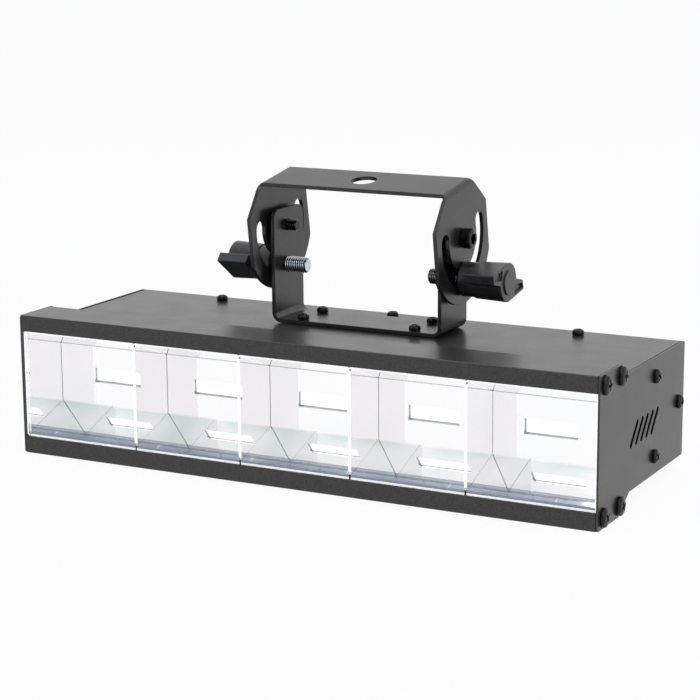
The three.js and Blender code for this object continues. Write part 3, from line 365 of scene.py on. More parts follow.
def mirror_sheet(name, dull, bright, clear, marks, white_hem):
    """Bright rolled aluminium, painted from a dull to a bright reflection tone, with a faint grain and a slow
    waviness.
    Each rule is a function of the tree and of Object X, depth and rise: clear says where the painted
    reflection is brighter, marks lists its folds, joints and bands with their colours of painted shade and
    painted reflection, and white_hem says where its matt front hem is painted white and glows, instead of
    painted with a bluish reflection."""
    # painted glow: the hem's white part emits a faint light of its own, though it is no lamp
    material, tree, shader = new_finish(name, Emission_Strength=0.55)
    plain = object_coordinates(tree)
    waves = noise(tree, plain, scale=22, detail=1.0)
    haze = noise(tree, object_coordinates(tree, (1, 1, 2)), scale=30, detail=0.0)
    grain = noise(tree, object_coordinates(tree, (1, 12, 12)), scale=300, detail=2.0)
    depth = part_of(tree, plain, "Y")
    rise = worked(tree, "SUBTRACT", part_of(tree, plain, "Z"), panel_middle)
    where = (tree, part_of(tree, plain, "X"), depth, rise)
    # painted reflection: the tone runs from dull to bright where the painted reflection is brighter
    painted_brightness = worked(tree, "ADD", worked(tree, "MULTIPLY", haze, 0.35), clear(*where))
    tone = two_tones(tree, painted_brightness, dull, bright, start=0.1, end=1.0)
    for share, colour in marks(*where):
        tone = mixed(tree, share, tone, colour)
    hem = worked(tree, "LESS_THAN", depth, trough_low[1] + HEM)
    white = worked(tree, "MULTIPLY", hem, white_hem(*where))
    # painted reflection and painted glow: the matt hem is painted bluish grey for a darker reflection, and
    # white elsewhere
    hem_tone = mixed(tree, white, tint(172, 180, 192), tint(246, 247, 248))
    tree.links.new(mixed(tree, hem, tone, hem_tone), shader.inputs["Base Color"])
    tree.links.new(mixed(tree, white, tint(0, 0, 0), tint(255, 255, 255)), shader.inputs["Emission Color"])
    tree.links.new(worked(tree, "SUBTRACT", 1.0, hem), shader.inputs["Metallic"])
    matt = worked(tree, "MULTIPLY", hem, 0.6)
    rough = worked(tree, "ADD", spread(tree, grain, low=0.02, high=0.05), matt)
    tree.links.new(rough, shader.inputs["Roughness"])
    relief(tree, shader, waves, strength=0.1, depth=0.4 * MM)
    return material


def trough_mirror():
    """The folded trough, with painted reflections: its back panel is painted brightest, then a painted
    highlight on the slopes beside each lamp, brighter towards +X. It has a painted shade line along its upper
    fold, and a bluish painted reflection band along the front of its lower slope."""
    def clear(tree, x, depth, rise):
        behind = worked(tree, "SUBTRACT", depth, panel_depth)
        panel = spread(tree, behind, low=0.0, high=1.0, start=-1.5 * MM, end=-0.5 * MM)
        # painted reflection: brighter towards +X along the bar
        along = spread(tree, x, low=0.0, high=0.35, start=-150 * MM, end=60 * MM)
        # painted highlight: a soft glow on the slopes beside each lamp
        beside = worked(tree, "PINGPONG", worked(tree, "SUBTRACT", x, PAINTED_GLOW_SHIFT), cell_pitch / 2)
        near = spread(tree, beside, low=0.8, high=0.0, start=10 * MM, end=24 * MM)
        slope = spread(tree, behind, low=1.0, high=0.0, start=-9 * MM, end=-2 * MM)
        glow = worked(tree, "MULTIPLY", near, slope)
        return worked(tree, "ADD", worked(tree, "ADD", panel, along), glow)

    def marks(tree, x, depth, rise):
        # painted shade: a grey line along the upper fold; painted reflection: a bluish band along the lower
        # slope's front
        at_fold = worked(tree, "COMPARE", rise, FOLD_RISE, FOLD_LINE)
        on_panel = worked(tree, "GREATER_THAN", depth, panel_depth - 2 * FOLD_LINE)
        in_front = worked(tree, "COMPARE", depth, trough_low[1] + BAND_DEPTH, BAND_HALF)
        lower = worked(tree, "LESS_THAN", rise, 0.0)
        crease = worked(tree, "MULTIPLY", at_fold, on_panel)
        band = worked(tree, "MULTIPLY", in_front, lower)
        return (crease, fold_shade), (band, tint(184, 191, 202))

    def white_hem(tree, x, depth, rise):
        # painted reflection: the lower hem is painted bluish grey, the rest of the hem is painted white
        from_grey = worked(tree, "ABSOLUTE", worked(tree, "ADD", rise, HEM_GREY))
        return worked(tree, "GREATER_THAN", from_grey, HEM_GREY)

    return mirror_sheet("mirror_sheet", tint(228, 237, 236), tint(255, 254, 255), clear, marks, white_hem)


def wall_mirror():
    """The walls between the cells and at the ends, with painted shade where they meet the back panel."""
    def clear(tree, x, depth, rise):
        return 0.1

    def marks(tree, x, depth, rise):
        # painted shade: grey along the corner where each wall meets the back panel
        corner = worked(tree, "GREATER_THAN", depth, panel_depth - 1.5 * FOLD_LINE)
        return [(corner, fold_shade)]

    # painted glow: the walls' front hem is painted white and glows all along
    def white_hem(tree, x, depth, rise):
        return 1.0

    return mirror_sheet("mirror_wall", tint(240, 238, 239), tint(254, 252, 253), clear, marks, white_hem)


def clear_pane():
    """Clear acrylic sheet with the faintest unevenness in its gloss."""
    material, tree, shader = new_finish("clear_pane", Metallic=0.0, IOR=1.2, Transmission_Weight=1.0)
    haze = noise(tree, object_coordinates(tree), scale=40, detail=2.0)
    tone = two_tones(tree, haze, tint(253, 254, 254), tint(255, 255, 255))
    tree.links.new(tone, shader.inputs["Base Color"])
    tree.links.new(spread(tree, haze, low=0.0, high=0.01), shader.inputs["Roughness"])
    return material


def black_plastic():
    """Black moulded plastic with a fine spark-eroded grain."""
    material, tree, shader = new_finish("black_plastic", Metallic=0.0)
    vector = object_coordinates(tree)
    grain = noise(tree, vector, scale=2600, detail=2.0)
    wear = noise(tree, vector, scale=130, detail=4.0)
    tree.links.new(two_tones(tree, wear, tint(34, 34, 36), tint(44, 44, 46)), shader.inputs["Base Color"])
    tree.links.new(spread(tree, wear, low=0.26, high=0.38), shader.inputs["Roughness"])
    relief(tree, shader, grain, strength=0.25, depth=0.04 * MM)
    return material


def black_steel():
    """Blackened steel, glossy under a thin film of oil."""
    material, tree, shader = new_finish("black_steel", Metallic=0.2, Specular_IOR_Level=0.3)
    film = noise(tree, object_coordinates(tree), scale=700, detail=3.0)
    tree.links.new(two_tones(tree, film, tint(8, 8, 9), tint(18, 17, 18)), shader.inputs["Base Color"])
    tree.links.new(spread(tree, film, low=0.07, high=0.15), shader.inputs["Roughness"])
    return material


def zinc_steel():
    """Bright zinc plate with a bluish passivation, and painted shade down in a stud's thread, told by how far
    a place is from the stud's axis."""
    material, tree, shader = new_finish("zinc_steel", Metallic=1.0)
    vector = object_coordinates(tree)
    film = noise(tree, vector, scale=450, detail=4.0)
    across, up = (worked(tree, "SUBTRACT", part_of(tree, vector, axis), place)
                  for axis, place in zip("YZ", clamp_place[1:]))
    squares = [worked(tree, "MULTIPLY", part, part) for part in (across, up)]
    away = worked(tree, "SQRT", worked(tree, "ADD", *squares))
    bright = two_tones(tree, film, tint(176, 190, 199), tint(214, 221, 226))
    # painted shade: the thread's roots are painted dark bluish grey, its crests stay bright
    depth = spread(tree, away, low=1.0, high=0.0, start=THREAD_DARK, end=THREAD_BRIGHT)
    thread_root_shade = worked(tree, "MULTIPLY", depth, worked(tree, "GREATER_THAN", away, THREAD_CORE))
    tree.links.new(mixed(tree, thread_root_shade, bright, tint(84, 98, 106)), shader.inputs["Base Color"])
    tree.links.new(spread(tree, film, low=0.16, high=0.3), shader.inputs["Roughness"])
    return material


def aluminium():
    """Extruded aluminium, matt, with fine lines along the extrusion."""
    material, tree, shader = new_finish("aluminium", Metallic=1.0)
    lines = noise(tree, object_coordinates(tree, (1, 40, 40)), scale=120, detail=2.0)
    tone = two_tones(tree, lines, tint(176, 178, 180), tint(200, 202, 204))
    tree.links.new(tone, shader.inputs["Base Color"])
    tree.links.new(spread(tree, lines, low=0.35, high=0.5), shader.inputs["Roughness"])
    return material


def lamp_white():
    """The lamp's white face behind its window, with a painted glow that makes it shine white."""
    # painted glow: the face emits a soft white light of its own to stand in for how brightly it is lit
    material, tree, shader = new_finish("lamp_white", Roughness=0.6, Emission_Strength=0.7)
    dots = noise(tree, object_coordinates(tree), scale=500, detail=2.0)
    face = two_tones(tree, dots, tint(246, 245, 240), tint(252, 251, 247))
    glow = two_tones(tree, dots, tint(250, 250, 248), tint(255, 255, 252))
    tree.links.new(face, shader.inputs["Base Color"])
    tree.links.new(glow, shader.inputs["Emission Color"])
    return material


def moulded_board(name, dark, light):
    """A printed board or a matt moulding in two close tones."""
    material, tree, shader = new_finish(name, Metallic=0.0)
    cloth = noise(tree, object_coordinates(tree), scale=900, detail=2.0)
    tree.links.new(two_tones(tree, cloth, dark, light), shader.inputs["Base Color"])
    tree.links.new(spread(tree, cloth, low=0.42, high=0.58), shader.inputs["Roughness"])
    relief(tree, shader, cloth, strength=0.15, depth=0.03 * MM)
    return material


# painted shade colour for the trough's fold line and the walls' inner corners
fold_shade = tint(204, 202, 199)
finishes = {
    "powder_coat": powder_coat(),
    "mirror_sheet": trough_mirror(),
    "mirror_wall": wall_mirror(),
    # painted shade: the end plates' coat is painted nearly black on the walls of the vent slots
    "vented_coat_slot_shade": powder_coat("vented_coat_slot_shade", slot_wall_shade),
    # painted shade: the same powder coat painted darker on the yoke and the inner bracket, for their shaded
    # faces
    "shaded_yoke_coat": powder_coat("shaded_yoke_coat", dark=(17, 15, 16), light=(38, 35, 36)),
    "clear_pane": clear_pane(),
    "black_plastic": black_plastic(),
    "black_steel": black_steel(),
    "zinc_steel": zinc_steel(),
    "aluminium": aluminium(),
    "lamp_white": lamp_white(),
    "white_board": moulded_board("white_board", tint(214, 216, 212), tint(232, 233, 229)),
    "dark_plastic": moulded_board("dark_plastic", tint(70, 69, 68), tint(84, 82, 80)),
    "green_board": moulded_board("green_board", tint(24, 84, 54), tint(38, 104, 70)),
}

# Solids whose finish isn't the one that their slot names
other_finish = {
    "lamp_frame": moulded_board("frame_moulding", tint(170, 174, 178), tint(190, 194, 198)),
    # painted shade: the cover's coat is darkened along its ends, for the shadow in the gap at the end plates
    "top_cover": powder_coat("cover_coat_joint_shade", cover_joint_shade),
}
for index in range(1, 5):
    other_finish[f"cell_divider_{index}"] = finishes["mirror_wall"]
for side_name in SIDES:
    other_finish[f"{side_name}_end_mirror"] = finishes["mirror_wall"]
    for bush in ("pivot_bush", "clamp_bush"):
        other_finish[f"{side_name}_{bush}"] = finishes["black_steel"]
for entry in frame["record"]["subparts"]:
    solid = frame["nodes"][entry["node"]].data
    solid.materials.clear()
    solid.materials.append(other_finish.get(entry["node"], finishes[entry["material_slot"]]))


# Shapes worked out as whole arrays
def arc(radius, start, end, steps, centre=(0, 0)):
    """Points along a circular arc: centre + radius (cos angle, sin angle), both ends included."""
    angle = np.linspace(start, end, steps + 1)
    return np.stack([centre[0] + radius * np.cos(angle), centre[1] + radius * np.sin(angle)], -1)


def circle(radius, steps=ROUND_STEPS, centre=(0, 0)):
    """A closed counter-clockwise loop round a circle."""
    return arc(radius, 0, TURN, steps, centre)[:-1]


def rounded(corners, radius, steps=CORNER_STEPS):
    """Rows of points, one for each corner of a closed loop: an arc tangent to the two sides there."""
    corners = np.array(corners, float)
    radius = np.broadcast_to(radius, len(corners))
    before = np.roll(corners, 1, 0) - corners
    after = np.roll(corners, -1, 0) - corners
    before /= np.linalg.norm(before, axis=1, keepdims=True)
    after /= np.linalg.norm(after, axis=1, keepdims=True)
    half = np.arccos(np.clip((before * after).sum(1), -1, 1)) / 2
    middle = before + after
    middle /= np.linalg.norm(middle, axis=1, keepdims=True)
    centre = corners + middle * (radius / np.sin(half))[:, None]
    way = np.sign(before[:, 1] * after[:, 0] - before[:, 0] * after[:, 1])
    lean = np.arctan2(-middle[:, 1], -middle[:, 0])[:, None]
    angle = lean + np.linspace(-1, 1, steps + 1) * ((math.pi / 2 - half) * way)[:, None]
    return centre[:, None] + radius[:, None, None] * np.stack([np.cos(angle), np.sin(angle)], -1)


def inward(loop):
    """The left normal at each point of a counter-clockwise loop, from its neighbours' difference."""
    along = np.roll(loop, -1, 0) - np.roll(loop, 1, 0)
    along /= np.linalg.norm(along, axis=1, keepdims=True)
    return np.stack([-along[:, 1], along[:, 0]], -1)


def stack(loops, heights):
    """A skin through loops of equal count, one at each height: points (row, place) and quads between rows."""
    loops = np.array(loops)
    rows, count = loops.shape[:2]
    levels = np.broadcast_to(np.array(heights, float)[:, None, None], (rows, count, 1))
    points = np.concatenate([loops, levels], -1).reshape(-1, 3)
    here = np.arange(count)
    after = (here + 1) % count
    low = np.arange(rows - 1)[:, None] * count
    faces = np.stack([low + here, low + after, low + count + after, low + count + here], -1)
    return points, faces.reshape(-1, 4)


def turned(profile, steps=ROUND_STEPS):
    """A profile of (radius, height) carried round the axis: point = (radius cos a, radius sin a, height)."""
    profile = np.array(profile, float)
    return stack(profile[:, 0, None, None] * circle(1, steps), profile[:, 1])


def within(points, loops):
    """True where a line to the right of a point crosses the loops an odd number of times."""
    odd = np.zeros(len(points), bool)
    for loop in loops:
        ahead = np.roll(loop, -1, 0)
        level = points[:, None, 1]
        spans = (loop[:, 1] <= level) != (ahead[:, 1] <= level)
        rise = np.where(ahead[:, 1] == loop[:, 1], 1, ahead[:, 1] - loop[:, 1])
        cross = loop[:, 0] + (level - loop[:, 1]) / rise * (ahead[:, 0] - loop[:, 0])
        odd ^= (spans & (cross > points[:, None, 0])).sum(1) % 2 == 1
    return odd


def filled(loops, height, spots=None):
    """A flat face at a height between closed loops, holes left out: a constrained triangulation.
    It is worked out in millimetres, rounded as the triangulation rounds them."""
    loops = [np.float32(loop / MM).astype(float) for loop in loops]
    points = np.concatenate([*loops] if spots is None else [*loops, spots / MM])
    starts = np.cumsum([0, *map(len, loops)])
    sides = np.concatenate([
        low + np.stack([np.arange(len(loop)), np.roll(np.arange(len(loop)), -1)], -1)
        for low, loop in zip(starts, loops)])
    found = delaunay_2d_cdt(points.tolist(), sides.tolist(), [], 0, WELD)
    flat = np.array([*map(tuple, found[0])])
    triangles = np.array(found[2])
    triangles = triangles[within(flat[triangles].mean(1), loops)]
    return np.column_stack([flat * MM, np.full(len(flat), height)]), triangles


def plate(outline, holes, thickness, spots=None):
    """A flat sheet with holes, and with every cut edge rounded by quarter circles.
    Points are (u, v, depth): each loop is pushed into the sheet by r (1 - sin a) at depth r (1 - cos a)."""
    angle = np.linspace(0, math.pi / 2, EDGE_STEPS + 1)
    push = CUT_EDGE * (1 - np.sin(angle))
    sink = CUT_EDGE * (1 - np.cos(angle))
    push = np.concatenate([push, push[::-1]])
    depth = np.concatenate([sink, thickness - sink[::-1]])
    parts, rims = [], []
    for loop, way in [(outline, 1), *((hole, -1) for hole in holes)]:
        rings = loop + way * push[:, None, None] * inward(loop)
        parts.append(stack(rings, depth))
        rims.append(rings[0])
    return [*parts, filled(rims, 0, spots), filled(rims, thickness, spots)]


def folded(parts, half, radius, level, way):
    """Folds a flat sheet down (way 1) or up (way -1) at both ends, round bends of one outer radius.
    Along u the sheet runs flat, then round the bend by angle (u - flat) / radius, then straight on."""
    flat = half - radius
    result = []
    for points, faces in parts:
        u, v, depth = points.T
        bend = np.clip((np.abs(u) - flat) / radius, 0, math.pi / 2)
        past = np.maximum(np.abs(u) - flat - radius * math.pi / 2, 0)
        x = np.sign(u) * (np.minimum(np.abs(u), flat) + (radius - depth) * np.sin(bend))
        z = level - way * (radius - (radius - depth) * np.cos(bend) + past)
        result.append((np.stack([x, v, z], -1), faces))
    return result


def run_of(drop, half, radius):
    """How far along the flat sheet a place lies that is a drop below the folded sheet's level."""
    bend = np.arccos(np.clip(1 - drop / radius, -1, 1))
    return half - radius + np.where(drop < radius, radius * bend, radius * (math.pi / 2 - 1) + drop)


def bend_rows(half, radius):
    """Where each step of a bend lies along the flat sheet."""
    return half - radius + radius * np.linspace(0, math.pi / 2, FOLD_STEPS + 1)


def bend_spots(half, radius, reach):
    """Spots across both bends of a flat sheet, one row for each fold step."""
    rows = bend_rows(half, radius)
    u, v = np.meshgrid(np.concatenate([rows, -rows]), np.linspace(-reach, reach, FOLD_SPOTS))
    return np.stack([u.ravel(), v.ravel()], -1)


def thread(radius, pitch, low, high, chamfer, steps=ROUND_STEPS):
    """A screw thread from low to high: radius falls from crest to root as a triangle wave of
    height / pitch - angle / turn, cut off flat at both, and is held in by a chamfer at each end."""
    rows = round((high - low) / pitch * THREAD_ROWS)
    height = np.linspace(low, high, rows + 1)
    angle = np.linspace(0, TURN, steps + 1)[:-1]
    wave = np.abs((height[:, None] / pitch - angle / TURN) % 1 * 2 - 1)
    depth = THREAD_DEPTH * pitch * np.clip((wave - THREAD_FLAT) / (1 - 2 * THREAD_FLAT), 0, 1)
    end = np.minimum(height - low, high - height)[:, None]
    reach = np.minimum(radius - depth, radius - chamfer + end)
    loops = reach[:, :, None] * np.stack([np.cos(angle), np.sin(angle)], -1)
    return stack(loops, height)


def placed(parts, frame_axes, origin, turn=0.0):
    """Turns parts about their own axis, then sets them on an origin with their axes along the given ones."""
    spin = np.array([[math.cos(turn), math.sin(turn), 0], [-math.sin(turn), math.cos(turn), 0], [0, 0, 1]])
    return [(points @ spin @ np.array(frame_axes, float) + origin, faces) for points, faces in parts]


def piece(name, parts, body, slot, *nodes, finish=None):
    """One closed mesh from parts that share their rims: doubles merged and faces turned outwards."""
    points = np.concatenate([points for points, _ in parts])
    starts = np.cumsum([0, *(len(points) for points, _ in parts)])
    faces = [face for low, (_, some) in zip(starts, parts) for face in (some + low).tolist()]
    mesh = bpy.data.meshes.new(name)
    mesh.from_pydata(points.tolist(), [], faces)
    work = bmesh.new()
    work.from_mesh(mesh)
    bmesh.ops.remove_doubles(work, verts=work.verts, dist=MERGE)
    bmesh.ops.recalc_face_normals(work, faces=work.faces)
    work.to_mesh(mesh)
    work.free()
    mesh.shade_smooth()
    mesh.set_sharp_from_angle(angle=SHARP)
    mesh.materials.append(finishes[finish or slot])
    item = bpy.data.objects.new(name, mesh)
    bpy.context.scene.collection.objects.link(item)
    even = item.modifiers.new("even_normals", "WEIGHTED_NORMAL")
    even.keep_sharp = True
    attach(item, body)
    if nodes:
        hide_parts(*nodes)
    return item


# Yoke and inner bracket, cut flat and folded
def both_sides(path):
    """A loop round a sheet from the path of its right half: the path, then the same path mirrored back."""
    return np.concatenate([path, path[::-1] * (-1, 1)])


def yoke_flat():
    """The yoke's flat outline: a strip that widens to a shoulder on each side, and a lower edge about the
    pivot."""
    slope = (SHOULDER[0] - YOKE_TOP_HALF) / (YOKE_TOP - SHOULDER[1])
    bend = np.linspace(0, math.pi / 2, FOLD_STEPS + 1)
    drop = YOKE_FOLD * (1 - np.cos(bend))
    front = np.column_stack([drop, -YOKE_TOP_HALF - slope * drop])
    waist = math.asin(WAIST_Z / LOWER_RADIUS)
    lower = arc(LOWER_RADIUS, math.pi - waist, TURN + waist, YOKE_ARC_STEPS)
    shoulder = np.array([(YOKE_TOP - SHOULDER[1], SHOULDER[0])])
    below = np.column_stack([YOKE_TOP - lower[:, 1], lower[:, 0]])
    side = np.concatenate([front, shoulder * (1, -1), below, shoulder, (front * (1, -1))[::-1]])
    return both_sides(np.column_stack([run_of(side[:, 0], YOKE_HALF, YOKE_FOLD), side[:, 1]]))


def arc_slot():
    """A slot round the pivot: two arcs and two round ends, as (across, up)."""
    start, end = math.pi - SLOT_RISE, TURN + SLOT_RISE
    ends = [CLAMP_RADIUS * np.array([math.cos(angle), math.sin(angle)]) for angle in (start, end)]
    return np.concatenate([
        arc(CLAMP_RADIUS + SLOT_HALF, start, end, ROUND_STEPS)[:-1],
        arc(SLOT_HALF, end, end + math.pi, ROUND_STEPS // 4, ends[1])[:-1],
        arc(CLAMP_RADIUS - SLOT_HALF, end, start, ROUND_STEPS)[:-1],
        arc(SLOT_HALF, start - math.pi, start, ROUND_STEPS // 4, ends[0])[:-1]])


def on_side(loop, top, half, radius, side):
    """A hole given as (across, up) on a folded end, laid on the flat sheet, counter-clockwise."""
    run = run_of(top - loop[:, 1], half, radius)
    flat = np.column_stack([side * run, loop[:, 0]])
    return flat if side > 0 else flat[::-1]


def tilted(parts, angle, about):
    """Parts turned about the X axis by an angle, then moved to a place."""
    lean = Matrix.Rotation(angle, 3, "X")
    return [(points @ np.array(lean).T + about, faces) for points, faces in parts]


def outer_yoke():
    """The yoke's sheet with its holes, folded down at both ends and tilted about the pivot screws."""
    holes = [circle(CLAMP_HOLE)]
    for side in SIDES.values():
        for loop in (arc_slot(), circle(PIVOT_HOLE)):
            holes.append(on_side(loop, YOKE_TOP, YOKE_HALF, YOKE_FOLD, side))
    flat = plate(yoke_flat(), holes, SHEET, bend_spots(YOKE_HALF, YOKE_FOLD, YOKE_TOP_HALF - SHEET / 2))
    parts = tilted(folded(flat, YOKE_HALF, YOKE_FOLD, YOKE_TOP, 1), YOKE_TILT, (0, *pivot_place[1:]))
    piece("yoke_sheet", parts, "yoke", "powder_coat", "outer_yoke", finish="shaded_yoke_coat")


def inner_bracket():
    """A channel on its base: a strip whose two ends are folded up into ears with rounded corners."""
    low, high = box_of("inner_bracket")
    middle = (low + high) / 2
    half, depth = high[0], (high[1] - low[1]) / 2
    end = run_of(high[2] - low[2], half, BRACKET_FOLD)
    front = np.stack(np.broadcast_arrays(bend_rows(half, BRACKET_FOLD), -depth), -1)
    ends = [(end, -depth), (end, depth), (0, depth), (0, -depth)]
    ear = rounded(ends, EAR_RADIUS, END_STEPS)[:2].reshape(-1, 2)
    outline = both_sides(np.concatenate([front, ear, (front * (1, -1))[::-1]]))
    screws = [centre_of(f"base_screw_{index}") for index in range(1, 5)]
    holes = [circle(PAN_HOLE, centre=(screw - middle)[:2]) for screw in screws]
    for side in SIDES.values():
        for place, radius in ((pivot_place, EAR_PIVOT_HOLE), (clamp_place, EAR_STUD_HOLE)):
            run = run_of(place[2] - low[2], half, BRACKET_FOLD)
            holes.append(circle(radius, centre=(side * run, place[1] - middle[1])))
    spots = bend_spots(half, BRACKET_FOLD, depth - SHEET)
    parts = folded(plate(outline, holes, SHEET, spots), half, BRACKET_FOLD, low[2], -1)
    parts = [(points + (0, middle[1], 0), faces) for points, faces in parts]
    piece("bracket_sheet", parts, "housing", "powder_coat", "inner_bracket", finish="shaded_yoke_coat")


# End plates
def vent_slot(index):
    """One of a row of leaning slots: two half circles a run apart, turned by the lean."""
    run = (VENT_LENGTH - VENT_WIDTH) / 2
    ends = np.concatenate([
        arc(VENT_WIDTH / 2, -math.pi / 2, math.pi / 2, END_STEPS, (run, 0)),
        arc(VENT_WIDTH / 2, math.pi / 2, 1.5 * math.pi, END_STEPS, (-run, 0))])
    cosine, sine = math.cos(VENT_LEAN), math.sin(VENT_LEAN)
    offset = (index - (VENT_COUNT - 1) / 2) * VENT_PITCH
    return ends @ np.array([[cosine, sine], [-sine, cosine]]) + (VENT_MIDDLE[0] + offset, VENT_MIDDLE[1])


def end_plate(side_name):
    """A plate drawn as (along Y, up): a raised ear in front, vents, and holes for seven screws."""
    low, high = box_of(f"{side_name}_end_plate")
    front, rear = low[1], high[1]
    cover = cover_top + PLATE_PROUD
    outline = rounded([
        (front, 0), (front + EAR_FLAT, 0), (front + EAR_TAIL, TRAY_RISE), (rear, TRAY_RISE),
        (rear, cover), (front + EAR_TAIL, cover), (front + EAR_FLAT, high[2]), (front, high[2]),
    ], PLATE_CORNERS)
    screws = [centre_of(f"{side_name}_rail_screw_{index}") for index in range(1, 5)]
    holes = [vent_slot(index) for index in range(VENT_COUNT)]
    holes += [circle(TRUSS_HOLE, centre=screw[1:]) for screw in screws]
    holes += [circle(TAB_HOLE, centre=place) for place in TAB_PLACES]
    side = SIDES[side_name]
    outer = max(side * low[0], side * high[0])
    parts = [(np.stack([side * (outer - points[:, 2]), points[:, 0], points[:, 1]], -1), faces)
             for points, faces in plate(outline.reshape(-1, 2), holes, PLATE)]
    node = f"{side_name}_end_plate"
    piece(f"{side_name}_end_sheet", parts, "housing", "powder_coat", node, finish="vented_coat_slot_shade")


# Screws
def cross_head(size, domed):
    """A domed head: height = edge + (rise - edge) (1 - (r / R)^n)^(1 / n), less the recess's depth where
    a point lies inside either arm of its cross, then the rim, the flat underside and the shank."""
    radius, rise, core = size["head"] / 2, size["rise"], size["core"] / 2
    share = np.sin(np.linspace(0, math.pi / 2, HEAD_ROWS + 1))
    loops = radius * share[:, None, None] * circle(1, CROSS_STEPS)
    edge = rise * HEAD_EDGE
    dome = edge + (rise - edge) * (1 - share ** domed) ** (1 / domed)
    across = np.abs(loops)
    arm, half = size["cross"] / 2, RECESS_WIDTH / 2
    away = np.minimum(np.maximum(across[..., 0] - arm, across[..., 1] - half),
                      np.maximum(across[..., 1] - arm, across[..., 0] - half))
    taper = 1 - RECESS_TAPER * np.clip(radius * share / arm, 0, 1)
    sunk = RECESS_DEPTH * taper[:, None] * np.clip(0.5 - away / RECESS_WALL, 0, 1)
    top, faces = stack(loops, dome)
    top[:, 2] -= sunk.ravel()
    bevel, tip = edge * HEAD_BEVEL, -size["length"]
    rest = turned([(radius, edge), (radius, bevel), (radius - bevel, 0), (core, 0),
                   (core, tip + CROSS_CHAMFER), (core - CROSS_CHAMFER, tip), (0, tip)], CROSS_STEPS)
    return [(top, faces), rest]


def set_screw(name, size, domed, outward, base, turn, *nodes):
    """One screw of the housing, with the underside of its head at a base and its head facing outward."""
    parts = placed(cross_head(size, domed), OUTWARD[outward], base, turn)
    piece(name, parts, "housing", "black_steel", *nodes)


def all_cross_screws():
    """Every cross-recess screw of the housing, each turned a little further than the one before it."""
    turns = (SCREW_TWIST * index for index in range(CROSS_SCREWS))
    for side_name, side in SIDES.items():
        for index in range(1, 5):
            node = f"{side_name}_rail_screw_{index}"
            middle = centre_of(node)
            base = (side * (np.abs(box_of(node)).max() - TRUSS["rise"]), *middle[1:])
            set_screw(f"{node}_head", TRUSS, TRUSS_DOME, side_name, base, next(turns), node)
        outer = np.abs(box_of(f"{side_name}_end_plate")).max() + SEAT
        for index, place in enumerate(TAB_PLACES, 1):
            name = f"{side_name}_tab_screw_{index}"
            set_screw(name, TAB, PAN_DOME, side_name, (side * outer, *place), next(turns))
    nodes = [f"cover_screw_{index}" for index in range(1, 4)]
    nodes += [f"base_screw_{index}" for index in range(1, 5)]
    for node in nodes:
        base = (*centre_of(node)[:2], box_of(node)[1][2] - PAN["rise"])
        set_screw(f"{node}_head", PAN, PAN_DOME, "up", base, next(turns), node)
    for node in ("data_output_socket", "data_input_socket"):
        face = box_of(node)[1][1]
        for index, (across, up) in enumerate(FLANGE_SCREWS, 1):
            base = (centre_of(node)[0] + across, face + SEAT, centre_of(node)[2] + up)
            set_screw(f"{node}_screw_{index}", FLUSH, PAN_DOME, "rear", base, next(turns))


# Pivot screws and clamp studs
def hexagon(across):
    """A hexagon as a function of angle: radius = half / cos(angle from the middle of the nearest flat)."""
    angle = np.linspace(0, TURN, ROUND_STEPS + 1)[:-1]
    from_flat = (angle + math.pi / 6) % (math.pi / 3) - math.pi / 6
    return (across / 2 / np.cos(from_flat))[:, None] * circle(1)


def socket_screw(size):
    """A thread, a smooth neck, a fluted head, r = R (1 - depth (1 + cos n a) / 2), and a hexagonal socket."""
    radius, rise, shank = size["head"] / 2, size["rise"], size["thread"] / 2
    bevel = size["bevel"]
    angle = np.linspace(0, TURN, FLUTE_STEPS + 1)[:-1]
    loops = circle(1, FLUTE_STEPS)
    flutes = (1 - FLUTE_DEPTH / radius * (0.5 + 0.5 * np.cos(FLUTES * angle)))[:, None] * loops
    outer = stack(
        [shank * loops, (radius - bevel / 2) * loops, radius * flutes, radius * flutes,
         (radius - FLUTE_DEPTH) * loops, (radius - bevel) * loops],
        [size["under"], size["under"], size["under"] + bevel / 2, rise - bevel, rise - bevel / 2, rise])
    wide, socket = hexagon(size["socket"] + 2 * CUT_EDGE), hexagon(size["socket"])
    bottom = rise - size["deep"]
    face = filled([outer[0][-FLUTE_STEPS:, :2], wide], rise)
    mouth = stack([wide, socket, socket, 0 * socket], [rise, rise - CUT_EDGE, bottom, bottom - size["point"]])
    rod = thread(shank, size["pitch"], -size["length"], 0, size["bevel"], FLUTE_STEPS)
    ends = [stack([0 * loops, (shank - bevel) * loops], [-size["length"], -size["length"]]),
            stack([(shank - bevel) * loops, shank * loops], [0, size["under"]])]
    return [outer, face, mouth, rod, *ends]


def clamp_stud(low, high):
    """A full-length thread with a chamfer and a flat face at each end."""
    radius, bevel = STUD["thread"] / 2, STUD["bevel"]
    rod = thread(radius, STUD["pitch"], low, high, bevel)
    ends = [turned([(0, level), (radius - bevel, level)]) for level in (low, high)]
    return [rod, *ends]


# Clamp knobs: a hub with two wings in the shape of a Z
def knob_outline():
    """For each half turn: a wing with two rounded tips and a filleted root, then the round of the hub."""
    hub, root = KNOB["hub"], math.asin(KNOB["root"] / KNOB["hub"])
    past = root + KNOB["root_arc"]
    corners = [(0, -hub), (KNOB["reach"], KNOB["tip_low"]), (KNOB["tip_reach"], KNOB["tip_high"]),
               (hub * math.cos(root), KNOB["root"]), (hub * math.cos(past), hub * math.sin(past))]
    wing = rounded(corners, KNOB["round"])[1:4].reshape(-1, 2)
    half = np.concatenate([wing, arc(hub, past, math.pi / 2, ROUND_STEPS // 2)])
    return np.concatenate([half, -half])


